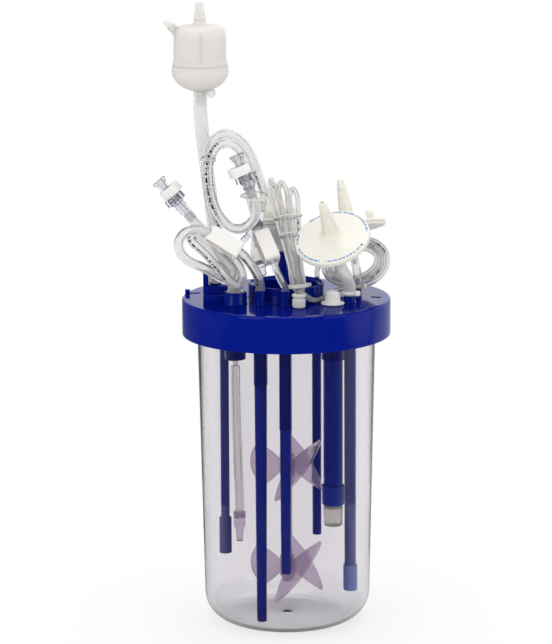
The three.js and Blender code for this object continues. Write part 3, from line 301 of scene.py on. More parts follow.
# Injection-moulded white acetal: dense white with a satin shine.
finishes["white"] = makeMaterial("mouldedAcetalWhite", {
    "IOR": 1.48, "Roughness": 0.3, "Subsurface Weight": 0.15,
    "Subsurface Scale": 0.002}, ("#f7f5f2", "#efedea"), [(6, 2), (0.9, 1)], (0.03, 0.06))

# Thin natural nylon, see-through at its edges.
finishes["tie"] = makeMaterial("naturalNylon", {"IOR": 1.35, "Roughness": 0.2, "Transmission Weight": 0.5},
                               ("#fdfcf9", "#f4f2ed"), [(3, 1)], (0.05, 0.1))

# Moulded clear polycarbonate with a cool violet cast from the thick places.
finishes["tinted"] = makeMaterial(
    "tintedPolycarbonate", {"IOR": 1.42, "Roughness": 0.06, "Transmission Weight": 0.9},
    ("#f8f7fb", "#efeef6"), [(4, 1)], (0.06, 0.1))

# Moulded polycarbonate in a smoky violet, half see-through.
finishes["smoke"] = makeMaterial(
    "smokePolycarbonate",
    {"IOR": 1.08, "Roughness": 0.2, "Transmission Weight": 0.7, "Coat Weight": 0.3, "Coat Roughness": 0.2},
    ("#f7e8f9", "#eedcf2"), [(11, 2), (2, 1)], (0.05, 0.1))

# Pleated polymer membrane: matt white with a fine felted grain.
finishes["pleat"] = makeMaterial(
    "pleatedMembrane", {"Roughness": 0.85, "Subsurface Weight": 0.2, "Subsurface Scale": 0.002},
    ("#f3f2ee", "#e2e0db"), [(0.7, 3)], (0.2, 0.1))

# Moulded silicone rubber cord: soft and pale.
finishes["seal"] = makeMaterial(
    "siliconeRubberSeal", {"Roughness": 0.5, "Transmission Weight": 0.15, "IOR": 1.41},
    ("#dedcd6", "#cfcdc7"), [(2, 2)], (0.08, 0.1))

# Turned stainless steel with fine rings from the tool.
finishes["steel"] = makeMaterial(
    "turnedStainless", {"Metallic": 1.0, "Roughness": 0.28}, ("#c9cbce", "#b3b5b9"), [(0.4, 1)], (0.1, 0.05),
    stretch=(0.05, 0.05, 1))

# Sintered magnet under a nickel plate: grey, faintly grainy.
finishes["magnet"] = makeMaterial(
    "nickelPlatedMagnet", {"Metallic": 1.0, "Roughness": 0.4}, ("#8d8f93", "#77797d"), [(1.5, 3)],
    (0.1, 0.05))
print("materials ready:", len(finishes))


# Every shape below is a list of points in millimetres and a list of faces.
def outward(points, faces):
    volume = 0.0
    for face in faces:
        a = points[face[0]]
        for i in range(1, len(face) - 1):
            volume += a.dot(points[face[i]].cross(points[face[i + 1]]))
    return points, faces if volume >= 0 else [tuple(reversed(face)) for face in faces]


def softened(profile, share=0.48):
    # A profile point may carry a third number, the radius that rounds its corner. A rounding takes at most
    # the given share of the side next to it.
    soft = []
    for i, point in enumerate(profile):
        here = Vector(point[:2])
        radius = point[2] if len(point) > 2 else 0
        if not radius:
            soft.append((here.x, here.y))
            continue
        before = Vector(profile[i - 1][:2]) - here
        after = Vector(profile[(i + 1) % len(profile)][:2]) - here
        reach = min(radius, before.length * share, after.length * share)
        start, end = here + before.normalized() * reach, here + after.normalized() * reach
        steps = 3 if radius < 1 else 5
        for k in range(steps + 1):
            t = k / steps
            spot = start * (1 - t) ** 2 + here * 2 * t * (1 - t) + end * t ** 2
            soft.append((spot.x, spot.y))
    return soft


def arcPoints(x, y, radius, fromAngle, toAngle, steps):
    angles = [math.radians(fromAngle + (toAngle - fromAngle) * i / steps) for i in range(steps + 1)]
    return [(x + radius * math.cos(a), y + radius * math.sin(a)) for a in angles]


def turned(profile, segments=48):
    # Turns [radius, height] points round Z. The profile closes on the axis or on itself.
    points, faces, rings = [], [], []
    for radius, height in softened(profile):
        onAxis = radius < 1e-6
        rings.append([len(points) + k for k in range(1 if onAxis else segments)])
        for k in range(len(rings[-1])):
            angle = 2 * math.pi * k / segments
            points.append(Vector((radius * math.cos(angle), radius * math.sin(angle), height)))
    for low, high in zip(rings, rings[1:] + rings[:1]):
        if len(low) + len(high) == 2:
            continue
        for k in range(segments):
            n = (k + 1) % segments
            corners = low[k % len(low)], low[n % len(low)], high[n % len(high)], high[k % len(high)]
            faces.append(tuple(dict.fromkeys(corners)))
    return outward(points, faces)


def fromForm(form):
    points = [v.co.copy() for v in form.verts]
    faces = [tuple(v.index for v in f.verts) for f in form.faces]
    form.free()
    return outward(points, faces)


def block(size, centre, edge=0.5):
    # A box with rounded edges.
    form = bmesh.new()
    bmesh.ops.create_cube(form, size=1)
    bmesh.ops.scale(form, vec=size, verts=form.verts)
    bmesh.ops.bevel(form, geom=form.edges[:], offset=edge, segments=2, profile=0.5, affect="EDGES")
    bmesh.ops.translate(form, vec=centre, verts=form.verts)
    return fromForm(form)


def extruded(outline, depth):
    # A flat outline in x and y, given depth each side of z = 0.
    count = len(outline)
    points = [Vector((x, y, z)) for z in (-depth / 2, depth / 2) for x, y in outline]
    faces = [tuple(range(count)), tuple(range(2 * count - 1, count - 1, -1))]
    faces += [(i, (i + 1) % count, (i + 1) % count + count, i + count) for i in range(count)]
    return outward(points, faces)


def flatRing(outline, hole, depth):
    # A flat plate with one hole, from z = 0 up to its depth.
    form = bmesh.new()
    edges = []
    for loop in (outline, hole):
        verts = [form.verts.new((x, y, 0)) for x, y in loop]
        edges += [form.edges.new((verts[i], verts[(i + 1) % len(verts)])) for i in range(len(verts))]
    bmesh.ops.triangle_fill(form, use_beauty=True, use_dissolve=False, edges=edges)
    grown = bmesh.ops.extrude_face_region(form, geom=form.faces[:])
    raised = [part for part in grown["geom"] if isinstance(part, bmesh.types.BMVert)]
    bmesh.ops.translate(form, vec=(0, 0, depth), verts=raised)
    bmesh.ops.recalc_face_normals(form, faces=form.faces[:])
    form.verts.index_update()
    return fromForm(form)


def turnTo(direction):
    return Vector((0, 0, 1)).rotation_difference(Vector(direction).normalized()).to_matrix().to_4x4()


def moved(shape, at=(0, 0, 0), direction=(0, 0, 1), spin=0):
    matrix = Matrix.Translation(Vector(at)) @ turnTo(direction) @ Matrix.Rotation(spin, 4, "Z")
    return [matrix @ p for p in shape[0]], shape[1]


def together(*shapes):
    points, faces = [], []
    for shapePoints, shapeFaces in shapes:
        base = len(points)
        points += shapePoints
        faces += [tuple(i + base for i in face) for face in shapeFaces]
    return points, faces


def smoothPath(points, step=1.5):
    # The same centripetal curve through its points as the part's own routes.
    ends = [Vector(p) for p in points]
    ends = [ends[0] * 2 - ends[1]] + ends + [ends[-1] * 2 - ends[-2]]
    path = []
    for i in range(1, len(ends) - 2):
        p0, p1, p2, p3 = ends[i - 1:i + 3]
        t1 = max((p1 - p0).length ** 0.5, 1e-6)
        t2 = t1 + max((p2 - p1).length ** 0.5, 1e-6)
        t3 = t2 + max((p3 - p2).length ** 0.5, 1e-6)
        count = max(2, round((p2 - p1).length / step))
        for k in range(count):
            t = t1 + (t2 - t1) * k / count
            a1 = p0 * ((t1 - t) / t1) + p1 * (t / t1)
            a2 = p1 * ((t2 - t) / (t2 - t1)) + p2 * ((t - t1) / (t2 - t1))
            a3 = p2 * ((t3 - t) / (t3 - t2)) + p3 * ((t - t2) / (t3 - t2))
            b1 = a1 * ((t2 - t) / t2) + a2 * (t / t2)
            b2 = a2 * ((t3 - t) / (t3 - t1)) + a3 * ((t - t1) / (t3 - t1))
            path.append(b1 * ((t2 - t) / (t2 - t1)) + b2 * ((t - t1) / (t2 - t1)))
    path.append(ends[-2].copy())
    return path


def wayAt(path, i):
    return (path[min(i + 1, len(path) - 1)] - path[max(i - 1, 0)]).normalized()


def ringsAlong(path, radius, sides):
    # Rings of points square to a path, kept from twisting.
    points = []
    across = (path[1] - path[0]).normalized().orthogonal().normalized()
    for i, spot in enumerate(path):
        ahead = wayAt(path, i)
        across = (across - ahead * across.dot(ahead)).normalized()
        side = ahead.cross(across)
        for k in range(sides):
            angle = 2 * math.pi * k / sides
            points.append(spot + across * (radius * math.cos(angle)) + side * (radius * math.sin(angle)))
    return points


def swept(path, radius, bore, sides):
    # A tube along a path: its outer wall, its bore and a ring at each end.
    points = ringsAlong(path, radius, sides) + ringsAlong(path, bore, sides)
    rings = [[i * sides + k for k in range(sides)] for i in range(2 * len(path))]
    outer, inner = rings[:len(path)], rings[len(path):]
    pairs = [*zip(outer, outer[1:]), *zip(inner[1:], inner), (inner[0], outer[0]), (outer[-1], inner[-1])]
    faces = []
    for low, high in pairs:
        for k in range(sides):
            n = (k + 1) % sides
            faces.append((low[k], low[n], high[n], high[k]))
    return outward(points, faces)


def newObject(name, shape):
    points, faces = shape
    mesh = bpy.data.meshes.new(name)
    mesh.from_pydata([p * mm for p in points], [], faces)
    piece = bpy.data.objects.new(name, mesh)
    scene.collection.objects.link(piece)
    return piece


def applyAll(piece):
    seen = piece.evaluated_get(bpy.context.evaluated_depsgraph_get())
    mesh = bpy.data.meshes.new_from_object(seen)
    piece.modifiers.clear()
    piece.data = mesh


def cutEdges(piece, width, corner=40):
    modifier = piece.modifiers.new("edges", "BEVEL")
    modifier.width = width * mm
    modifier.segments = 2
    modifier.limit_method = "ANGLE"
    modifier.angle_limit = math.radians(corner)
    applyAll(piece)


def shade(mesh, sharp):
    # Smooth shading that breaks at corners over the given angle.
    form = bmesh.new()
    form.from_mesh(mesh)
    for edge in form.edges:
        if len(edge.link_faces) == 2:
            edge.smooth = edge.calc_face_angle(0) < math.radians(sharp)
    for face in form.faces:
        face.smooth = True
    form.to_mesh(mesh)
    form.free()
    mesh.update()


def finishPiece(piece, finish, nodes, body, sharp, bevel):
    # Dresses a piece that rides on a body and stands for its CAD nodes.
    if bevel:
        cutEdges(piece, bevel)
    shade(piece.data, sharp)
    piece.data.materials.clear()
    piece.data.materials.append(finishes[finish])
    nodes = [nodes] if isinstance(nodes, str) else nodes
    if nodes:
        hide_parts(*nodes)
    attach(piece, body)
    return piece


def makePiece(name, shape, finish, nodes=(), body="reactor", at=(0, 0, 0), direction=(0, 0, 1), spin=0,
              sharp=32, bevel=0):
    piece = newObject(name, shape)
    place = Matrix.Translation(Vector(at) * mm) @ turnTo(direction)
    piece.matrix_world = place @ Matrix.Rotation(spin, 4, "Z")
    return finishPiece(piece, finish, nodes, body, sharp, bevel)


def addRun(mesh, path, sides, prints):
    # A map with the distance along a tube in millimetres and the share of the way round it, which is a half
    # at the angle of a print, counted from the front; away from the outer wall and the prints it is nought.
    layer = mesh.uv_layers.new(name="run")
    lengths = [0.0]
    for a, b in zip(path, path[1:]):
        lengths.append(lengths[-1] + (b - a).length)
    spots, outer = [], len(path) * sides
    for index in range(outer):
        i = index // sides
        ahead = wayAt(path, i)
        front = Vector((0, -1, 0)) + ahead * ahead.y
        side = ahead.cross(front)
        out = mesh.vertices[index].co / mm - path[i]
        angle = math.degrees(math.atan2(out.dot(side), out.dot(front)))
        turn = next((turn for start, end, turn in prints if start <= lengths[i] <= end), None)
        spots.append((lengths[i], 0.0 if turn is None else ((angle - turn) / 360 + 0.5) % 1))
    for face in mesh.polygons:
        shares = [spots[v][1] if v < outer else 0.0 for v in face.vertices]
        split = max(shares) - min(shares) > 0.5
        for corner, v, share in zip(face.loop_indices, face.vertices, shares):
            layer.data[corner].uv = (spots[v % outer][0], 0.0 if split else share)


def makeTube(name, path, radius, bore, finish, nodes, sides=20, prints=()):
    piece = makePiece(name, swept(path, radius, bore, sides), finish, nodes)
    if prints:
        addRun(piece.data, path, sides, prints)
    return piece


# Free lines
lines = {
    # the prints are stretches with plain dashes: from, to, angle from the front
    "feed": {"radius": 3.95, "bore": 2.3, "length": 0.356, "prints": [(5, 44, -25), (221, 266, 22)]},
    "harvest": {"radius": 2.9, "bore": 1.6, "length": 0.061, "prints": []},
    "port": {"radius": 3.95, "bore": 2.3, "length": 0.214, "prints": [(50, 126, 32), (172, 198, 25)]},
    "loop": {"radius": 3.95, "bore": 2.3, "length": 0.202, "prints": [(76, 138, 22)]},
    "sample": {"radius": 2.25, "bore": 1.2, "length": 1.23,
               "prints": [(404, 414, -20), (431, 447, 0), (543, 559, 10), (1164, 1177, 0)]},
}
lidTop = 271.7

feedClamp = {"from": (-37, -60, 319.7), "to": (-62, -60, 336.3), "back": (0.25, -1, 0.35)}
harvestClamp = {"from": (-10.9, -42, 309.1), "to": (-21.4, -24.8, 331.4), "back": (0.1, -0.8, 0.6)}
feedLuer = {"tip": Vector((-102.2, -30.6, 373.1)), "end": Vector((-74.4, -30.6, 340.9)), "wing": 3.6}
loopLuer = {"tip": Vector((-39.4, -46, 395.7)), "end": Vector((-26, -46, 361.3)), "wing": -0.4}
manifold = {
    "at": Vector((-22.9, -15, 332.5)), "left": Vector((-27.4, -15, 352.5)),
    "right": Vector((-18.7, -15, 352.5)), "stub": Vector((-35.4, -15, 320.5)),
    "drop": Vector((-23.9, -14.5, 316)), "inlet": Vector((-22.1, -22, 332.7))}


def onward(start, way, distance):
    return tuple(Vector(start) + Vector(way).normalized() * distance)


def ovalTurns(spec):
    # Turns of a coil from one end angle to the other; each half turn eases from its own seat into the next.
    normal = spec["long"].cross(spec["short"]).normalized()
    count = round(abs(spec["end"] - spec["start"]) / spec["each"])
    spots = []
    for i in range(count + 1):
        angle = math.radians(spec["start"] + (spec["end"] - spec["start"]) * i / count)
        half = i * spec["each"] / 180
        index = min(int(half), len(spec["seats"]) - 2)
        ease = half - index
        seat, following = spec["seats"][index:index + 2]
        reach, rise, depth, shift = (a * (1 - ease) + b * ease for a, b in zip(seat, following))
        along = math.copysign(abs(math.cos(angle)) ** spec["square"], math.cos(angle)) * reach + shift
        across = math.copysign(abs(math.sin(angle)) ** spec["square"], math.sin(angle)) * rise
        spots.append(tuple(spec["centre"] + spec["long"] * along + spec["short"] * across + normal * depth))
    return spots


sampleCoil = {
    "centre": Vector((56.3, 15.5, 296.3)), "long": Vector((0.96, 0, 0.28)),
    "short": Vector((-0.2721, 0.235, 0.9331)), "start": 150, "end": 180 - 4 * 360 - 295, "each": 15,
    "square": 0.95,
    "seats": [
        (27.8, 20.1, -2.4, 0), (25.5, 17.9, -2.4, 0), (23.2, 15.6, -2.4, 0.3), (20.9, 13.4, -2.4, 0.3),
        (18.7, 11.1, -1.8, 0.3), (18.7, 11.1, 1.8, 0.3), (20.9, 13.4, 2.4, 0.3), (23.3, 15.7, 2.4, 0.3),
        (25.6, 17.9, 2.4, 0), (27.8, 20.1, 2.4, 0), (28, 20.3, 2.4, 0)]}


def feedRoute():
    rise = [
        (-21, -33, 283.4), (-20.9, -33, 285.4), (-21.3, -34, 288.9), (-23.1, -39, 296.5), (-26.6, -45, 304.6),
        (-30.9, -51.5, 311.9), (-34.1, -56.2, 316.4)]
    through = [
        (-37.8, -59.2, 319.9), (-41.8, -60, 322.9), (-49.5, -60, 328), (-57.5, -60, 333.3),
        (-62.5, -59.7, 335.9)]
    # The coil is a wide turn, a fold back up, a fold down in front and a last fold up to the fitting.
    coil = [
        (-70, -57.4, 337.5), (-76.4, -54.6, 336.4), (-82.3, -52, 332.5), (-85.7, -49.6, 326),
        (-84.6, -47.4, 318.3), (-79.8, -45, 311.7), (-72.3, -43.2, 306.9), (-64.4, -41.6, 302.8),
        (-57.6, -40.6, 298.7), (-52.4, -40.3, 295.4), (-47.1, -40.2, 293.8), (-43.6, -40.2, 296.8),
        (-43.8, -40.3, 301.8), (-47.8, -40.4, 306.8), (-53.5, -40.3, 312.5), (-59.8, -40.6, 319),
        (-65.8, -41.1, 325.4), (-70.4, -42.2, 329.9), (-74.4, -44.6, 330.8), (-75.5, -47.2, 328.5),
        (-73.4, -49.1, 325.5), (-69.6, -50, 322.3), (-64, -50.2, 317.1), (-58.6, -50.2, 310.8),
        (-53.7, -50.1, 304.8), (-49, -50, 298.7), (-44.4, -49.6, 293.4), (-40, -47.4, 290.4),
        (-36.6, -43.6, 291.3), (-35.4, -39.4, 295.3), (-36.1, -36, 300), (-39.3, -33.6, 305.2),
        (-44.6, -32.5, 311.5), (-53.2, -32.2, 320.5), (-62, -31.5, 328.9)]
    way = feedLuer["end"] - feedLuer["tip"]
    return rise + through + coil + [onward(feedLuer["end"], way, 5), onward(feedLuer["end"], way, -7)]


def harvestRoute():
    return [
        (-1, -36.5, 283.7), (-1.2, -36.6, 287), (-3.1, -38.3, 290.5), (-5.1, -41, 295.1), (-7.5, -43.4, 301),
        (-9.3, -43.6, 305.4), harvestClamp["from"], (-16.15, -33.4, 320.25), harvestClamp["to"],
        (-22, -23.6, 332.6)]


def portRoute():
    return [
        (-41.3, -30, 283.2), (-41.3, -30, 288.8), (-41.9, -29.7, 294), (-45.5, -27.5, 302), (-49, -25, 311),
        (-52.5, -23.5, 322.5), (-56.5, -22, 334.5), (-60.5, -21, 350.5), (-63.2, -21, 366.5),
        (-64.2, -21, 383), (-62, -21, 396), (-56.5, -21, 405.5), (-48, -21, 409.3), (-38.5, -21, 405.5),
        (-31, -21, 397), (-25.3, -20.8, 385), (-21, -19, 371.5),
        onward(manifold["right"], (0.205, 0, 0.98), 6), onward(manifold["right"], (0.205, 0, 0.98), -6)]


def loopRoute():
    way = loopLuer["end"] - loopLuer["tip"]
    return [
        onward(manifold["left"], (-0.22, 0, 0.975), -6), onward(manifold["left"], (-0.22, 0, 0.975), 6),
        (-28.8, -20.5, 365), (-28.2, -27, 373.5), (-29.2, -30.4, 383), (-33, -30.6, 393), (-40, -30.3, 401),
        (-47.5, -30.2, 403.3), (-54.5, -30.2, 401), (-60, -30.2, 393), (-62.3, -30.2, 382),
        (-61.5, -30.4, 368), (-58.2, -31, 354), (-52.5, -32.5, 343), (-45, -35.5, 336), (-37, -40, 335),
        (-29.8, -44, 339), (-24.8, -45.6, 346), onward(loopLuer["end"], way, 6),
        onward(loopLuer["end"], way, -7)]


hank = {
    "foot": Vector((10.4, -46, 286.6)), "top": Vector((-3.6, -3, 371)),
    "front": Vector((0.05, -1, 0)), "gathered": 30,
    # each run of the tube: its place across at foot, middle and top, its depth, its shortening
    "runs": [(-3.4, -6.0, -10.4, -2.4, 0), (-1.4, -3.4, -4.4, -2.4, 0), (0.6, -2.6, -4.2, 2.4, -1),
             (1.6, 0.6, 2.4, 2.4, -1), (2.4, 3.0, 4.6, -2.4, -6), (3.6, 6.4, 10.6, -2.4, -6)],
}


def hankFolds():
    # Narrow loops side by side, gathered at the foot and fanned at the top.
    foot, runs = hank["foot"], hank["runs"]
    tall = (hank["top"] - foot).length
    up = (hank["top"] - foot).normalized()
    front = (hank["front"] - up * hank["front"].dot(up)).normalized()
    side = up.cross(front)
    spots = []
    for i, (low, middle, high, depth, drop) in enumerate(runs):
        # height above the foot, place across
        steps = [
            (3, low), (22, (low * 2 + middle) / 3), (42, middle), (62, (middle + high) / 2),
            (tall - 10 + drop, high * 0.96)]
        line = []
        for h, s in steps:
            free = min(1, h / hank["gathered"])
            line.append(foot + up * h + side * s + front * (depth * free + (1 - free) * (i - 2.5) * 0.5))
        spots += line if i % 2 == 0 else line[::-1]
        if i % 2 == 0:
            between = (high + runs[i + 1][2]) / 2
            spots.append(foot + up * (tall - 4.4 + drop) + side * between + front * depth)
        elif i + 1 < len(runs):
            spots.append(foot + up * 0.4 + side * ((low + runs[i + 1][0]) / 2))
    return [tuple(s) for s in spots]


def sampleRoute():
    lead = [(25.5, 30, 278.2), (25.5, 30, 282.5), (25.8, 29.3, 287.5), (27, 26.5, 292.3), (28.7, 23, 296)]
    link = [
        (43.5, 8, 275.4), (39.3, 3.6, 274.9), (36.8, -3, 274.6), (34.7, -10, 274.3), (31, -17.5, 274.3),
        (27, -25, 274.3), (22.5, -31, 274.6), (18, -35.4, 277.6), (13.4, -39.6, 282)]
    return lead + ovalTurns(sampleCoil) + link + hankFolds() + [(12.2, -45.6, 286.2), (10.4, -47, 282.6)]


def makeLine(name, route, spec, finish, nodes, step=1.6, sides=20):
    path = smoothPath(route, step)
    piece = makeTube(
        name, path, lines[spec]["radius"], lines[spec]["bore"], finish, nodes, sides=sides,
        prints=lines[spec]["prints"])
    print(name, round(sum((b - a).length for a, b in zip(path, path[1:])) * mm, 3), "m")
    return piece, path


feedLine, feedPath = makeLine(
    "feedLine", feedRoute(), "feed", "printedSilicone", ["feed_line", "feed_coil", "feed_tail"])
harvestLine, harvestPath = makeLine("harvestLine", harvestRoute(), "harvest", "silicone", ["harvest_line"])
portLine, portPath = makeLine("portLine", portRoute(), "port", "printedSilicone", ["port_line"])
loopLine, loopPath = makeLine("loopLine", loopRoute(), "loop", "printedSilicone", ["loop_line"])
sampleLine, samplePath = makeLine("sampleLine", sampleRoute(), "sample", "fineSilicone",
                                  ["sample_lead", "sample_coil", "sample_link", "sample_hank"], 1.8, 14)


# Vessel
vessel = {
    "height": 264, "baseRadius": 68.6, "mouthRadius": 73.5, "wall": 2.5, "corner": 23, "flangeRadius": 80.5,
    "flange": 3}


def makeVessel():
    mouth, wall, corner, high = vessel["mouthRadius"], vessel["wall"], vessel["corner"], vessel["height"]
    under, foot = high - vessel["flange"], vessel["baseRadius"] - corner
    profile = [
        (0, 0.5), (2.4, 0.5), (3, 0.1), (4, 0), (foot - 2, 0), *arcPoints(foot, corner, corner, -88, 0, 14),
        (mouth, under, 1.2), (vessel["flangeRadius"], under, 0.5), (vessel["flangeRadius"], high, 0.5),
        (mouth - wall, high, 0.8), *arcPoints(foot, corner, corner - wall, 0, -90, 14), (8, wall),
        (0, wall + 0.4)]
    makePiece("vesselShell", turned(profile, 144), "crystal", "vessel", sharp=50)


makeVessel()


# Lid
lid = {
    "radius": 85.5, "skirt": 30, "wall": 2.8, "under": 267.7, "edge": 3.2, "wellBore": 26, "wellWall": 5,
    "seat": 284, "wellFloor": 258, "wellUnder": 252}
ports = {
    # nipple above: foot radius, height, barb radius, rise; socket below: radius, lower end, neck radius
    "sparge": {"at": (-21, -33), "nipple": (4.4, 11.5, 3.1, 9), "socket": (5.65, 205, 4.3)},
    "harvest": {"at": (-1, -36.5), "nipple": (3.7, 11.8, 2.3, 8), "socket": (5.1, 168, 3.7)},
    "level": {"at": (-51, -12), "nipple": None, "socket": (4.9, 252, 3.3)},
    "overlay": {"at": (51.5, -24.5), "nipple": (4.9, 5.5, 3.3, 12), "socket": (5.3, 244, 3.9)},
    "vent": {"at": (58.5, -5), "nipple": (3.1, 7.5, 2, 8.5), "socket": (4, 258, 0)},
    "sample": {"at": (25.5, 30), "nipple": (2.9, 6, 1.8, 5), "socket": (4.8, 246, 3.4)},
}
towerAt, ringAt, probeAt, exhaustAt = (-1.7, 42), (-41.3, -30), (37.5, -33), (-57.5, -12)
blockTop = lidTop + 13.2


def nippleShape(foot, high, barb, rise, base=lidTop - 1):
    top, tip = lidTop + high, lidTop + high + rise
    return turned([
        (0, base), (foot + 0.9, base), (foot + 0.6, lidTop + 0.2, 0.5), (foot, lidTop + 1.0, 0.8),
        (foot, top, 0.4), (barb - 0.5, top, 0.3), (barb - 0.5, tip - 4), (barb, tip - 3.6, 0.2),
        (barb - 0.7, tip, 0.3), (1.0, tip, 0.2), (1.0, top - 2), (0, top - 2)])


def lidDish():
    d = lid
    outer, top = d["wellBore"] + d["wellWall"], lidTop
    rib = vessel["mouthRadius"] - vessel["wall"] - 0.3
    profile = [
        (0, d["wellUnder"]), (outer - 2, d["wellUnder"], 1), (outer - 2, d["under"] - 3),
        (outer, d["under"], 0.8), (rib - 2, d["under"]), (rib - 2, d["under"] - 6, 0.4),
        (rib, d["under"] - 6, 0.4), (rib, d["under"]), (d["radius"] - d["wall"], d["under"], 1),
        (d["radius"] - d["wall"], top - d["skirt"], 0.6), (d["radius"], top - d["skirt"], 0.8),
        (d["radius"], top - 0.01, d["edge"]), (d["radius"] - 4.6, top), (d["radius"] - 6, top),
        (outer + 1.2, top), (outer, top + 1.2), (outer, d["seat"], 0.9), (outer - 1.4, d["seat"], 0.3),
        (outer - 1.4, d["seat"] - 1.2, 0.3), (d["wellBore"] + 1.4, d["seat"] - 1.2, 0.3),
        (d["wellBore"], d["seat"] - 2.4), (d["wellBore"], d["wellFloor"], 1), (0, d["wellFloor"])]
    return turned(profile, 144)


def lidShapes():
    shapes, under = [lidDish()], lid["under"]
    for port in ports.values():
        radius, low, neck = port["socket"]
        socket = turned([
            (0, under + 1), (radius + 0.8, under + 0.2), (radius, under - 1.5), (radius, low, 0.5),
            (neck + 0.4, low, 0.2), (neck + 0.4, low + 12), (0, low + 12)])
        above = [nippleShape(*port["nipple"])] if port["nipple"] else []
        shapes.append(moved(together(socket, *above), (*port["at"], 0)))
    x, y = ringAt
    shapes.append(moved(turned([
        (7.9, 226), (8.5, 226, 0.4), (8.5, lid["under"]), (8.5, lidTop), (10.2, lidTop + 0.1),
        (9.5, lidTop + 1), (9.5, lidTop + 10.5, 0.7), (7.9, lidTop + 10.5, 0.5)], 64), (x, y, 0)))
    x, y = probeAt
    shapes.append(moved(turned([
        (7.5, 226), (9.4, 226, 0.6), (9.4, lid["under"]), (9.4, lidTop - 0.5),
        (7.5, lidTop - 0.5)], 64), (x, y, 0)))
    shapes.append(moved(turned([
        (0, lidTop - 1), (5.9, lidTop - 0.5), (5.4, lidTop + 0.6), (5, lidTop + 2), (5, 302, 0.6),
        (3.6, 302, 0.3), (3.6, 292), (0, 292)]), (*towerAt, 0)))
    x, y = exhaustAt
    shapes += [
        block((20, 18, 14.2), (x, y - 0.5, blockTop - 7.1), 0.9),
        block((17, 9, 8.2), (x - 1.3, y - 13.5, lidTop + 3.1), 0.7),
        block((4.4, 8, 11), (x - 7.8, y - 5, blockTop + 5.4), 0.7),
        moved(nippleShape(4.6, blockTop - lidTop + 1.2, 3.6, 12, blockTop - 2), (x, y, 0)),
        block((4, 5, 6.8), (-81.3, 13, lidTop + 0.4), 0.6),
    ]
    # two small raised arrows near the rim
    for (ax, ay), spin in (((-75.4, 17.2), 0.2), ((73.5, -2.9), -0.2)):
        arrow = extruded([(-4, -0.5), (1, -0.5), (1, -1.6), (4, 0), (1, 1.6), (1, 0.5), (-4, 0.5)], 0.8)
        shapes.append(moved(arrow, (ax, ay, lidTop + 0.1), spin=spin))
    return shapes


makePiece("lidMoulding", together(*lidShapes()), "lid", ["lid", "motor_well"], sharp=38)
sealPath = arcPoints(75.75, 265.85, 1.5, 0, 350, 35)
makePiece("lidSealRing", turned(sealPath, 144), "seal", "lid_seal")
print("vessel and lid made")


# Stirrer
rotor = {"radius": 24, "under": 236, "top": 251, "boss": 10, "low": 226, "bushTop": 247.3, "shaftTop": 233.3}
impeller = {
    "radius": 30, "pitch": 48, "hub": 6.2, "length": 17, "blade": 2.0, "halfChord": 30.9,
    "blades": (25, 145, 265),
    "places": {"lowerImpeller": ("lower_impeller", 43), "upperImpeller": ("upper_impeller", 129)}}


def bladeOutline():
    pitch = math.radians(impeller["pitch"])
    half = impeller["halfChord"]
    steps = [half * (-1 + i / 14) for i in range(29)]
    # The outer edge is cut by the round sweep of the blades; the inner one curves from the hub to the tips.
    reaches = [math.sqrt(impeller["radius"] ** 2 - (u * math.cos(pitch)) ** 2) for u in steps]
    root, tip = impeller["hub"] - 2.0, reaches[0]
    outer = [(reach - (0.5 if abs(u) == half else 0), u) for reach, u in zip(reaches, steps)]
    inner = [(root + (tip - root) * abs(u / half) ** 1.6, u) for u in reversed(steps[1:-1])]
    return outer + inner


def makeImpeller(name, node, height):
    half = impeller["length"] / 2
    hub = impeller["hub"]
    shapes = [turned([(4.8, -half, 0.3), (hub, -half, 0.9), (hub, half, 0.9), (4.8, half, 0.3)])]
    points, faces = extruded(bladeOutline(), impeller["blade"])
    pitch = Matrix.Rotation(math.radians(impeller["pitch"]), 4, "X")
    for degrees in impeller["blades"]:
        turn = Matrix.Rotation(math.radians(degrees - 90), 4, "Z") @ pitch
        shapes.append(([turn @ p for p in points], faces))
    makePiece(name, together(*shapes), "smoke", node, "stirrer", at=(0, 0, height), sharp=35, bevel=0.5)


def makeStirrer():
    r = rotor
    hubProfile = [
        (4.8, r["low"], 0.3), (r["boss"], r["low"], 0.8), (r["boss"], r["under"], 1),
        (r["radius"], r["under"], 2), (r["radius"], r["top"], 0.8), (21, r["top"], 0.3), (21, 243.3),
        (13, 243.3), (13, r["top"], 0.3), (2.8, r["top"], 0.3), (2.8, r["bushTop"]), (5.8, r["bushTop"]),
        (5.8, r["shaftTop"]), (4.8, r["shaftTop"])]
    makePiece("magnetCarrier", turned(hubProfile, 96), "white", "rotor_hub", "stirrer")
    makePiece("magnetRing", turned([
        (13.3, 243.6, 0.4), (20.7, 243.6, 0.4), (20.7, 251, 0.4),
        (13.3, 251, 0.4)], 96), "magnet", "rotor_magnet", "stirrer")
    makePiece("pivotBush", turned([
        (2.8, 236.3, 0.3), (5.5, 236.3, 0.3), (5.5, 247, 0.3),
        (2.8, 247, 0.3)]), "white", "rotor_bush", "stirrer")
    makePiece("pivotPin", turned([
        (0, 234), (4.5, 234, 0.4), (4.5, 236, 0.4), (2.5, 236), (2.5, 255.7, 0.5),
        (0, 255.7)]), "steel", "pivot_pin")
    makePiece(
        "impellerShaft", turned([(0, 31), (4.5, 31, 1), (4.5, 233, 0.8), (0, 233)]), "smoke",
        "impeller_shaft", "stirrer")
    for name, (node, height) in impeller["places"].items():
        makeImpeller(name, node, height)


makeStirrer()
print("stirrer made")


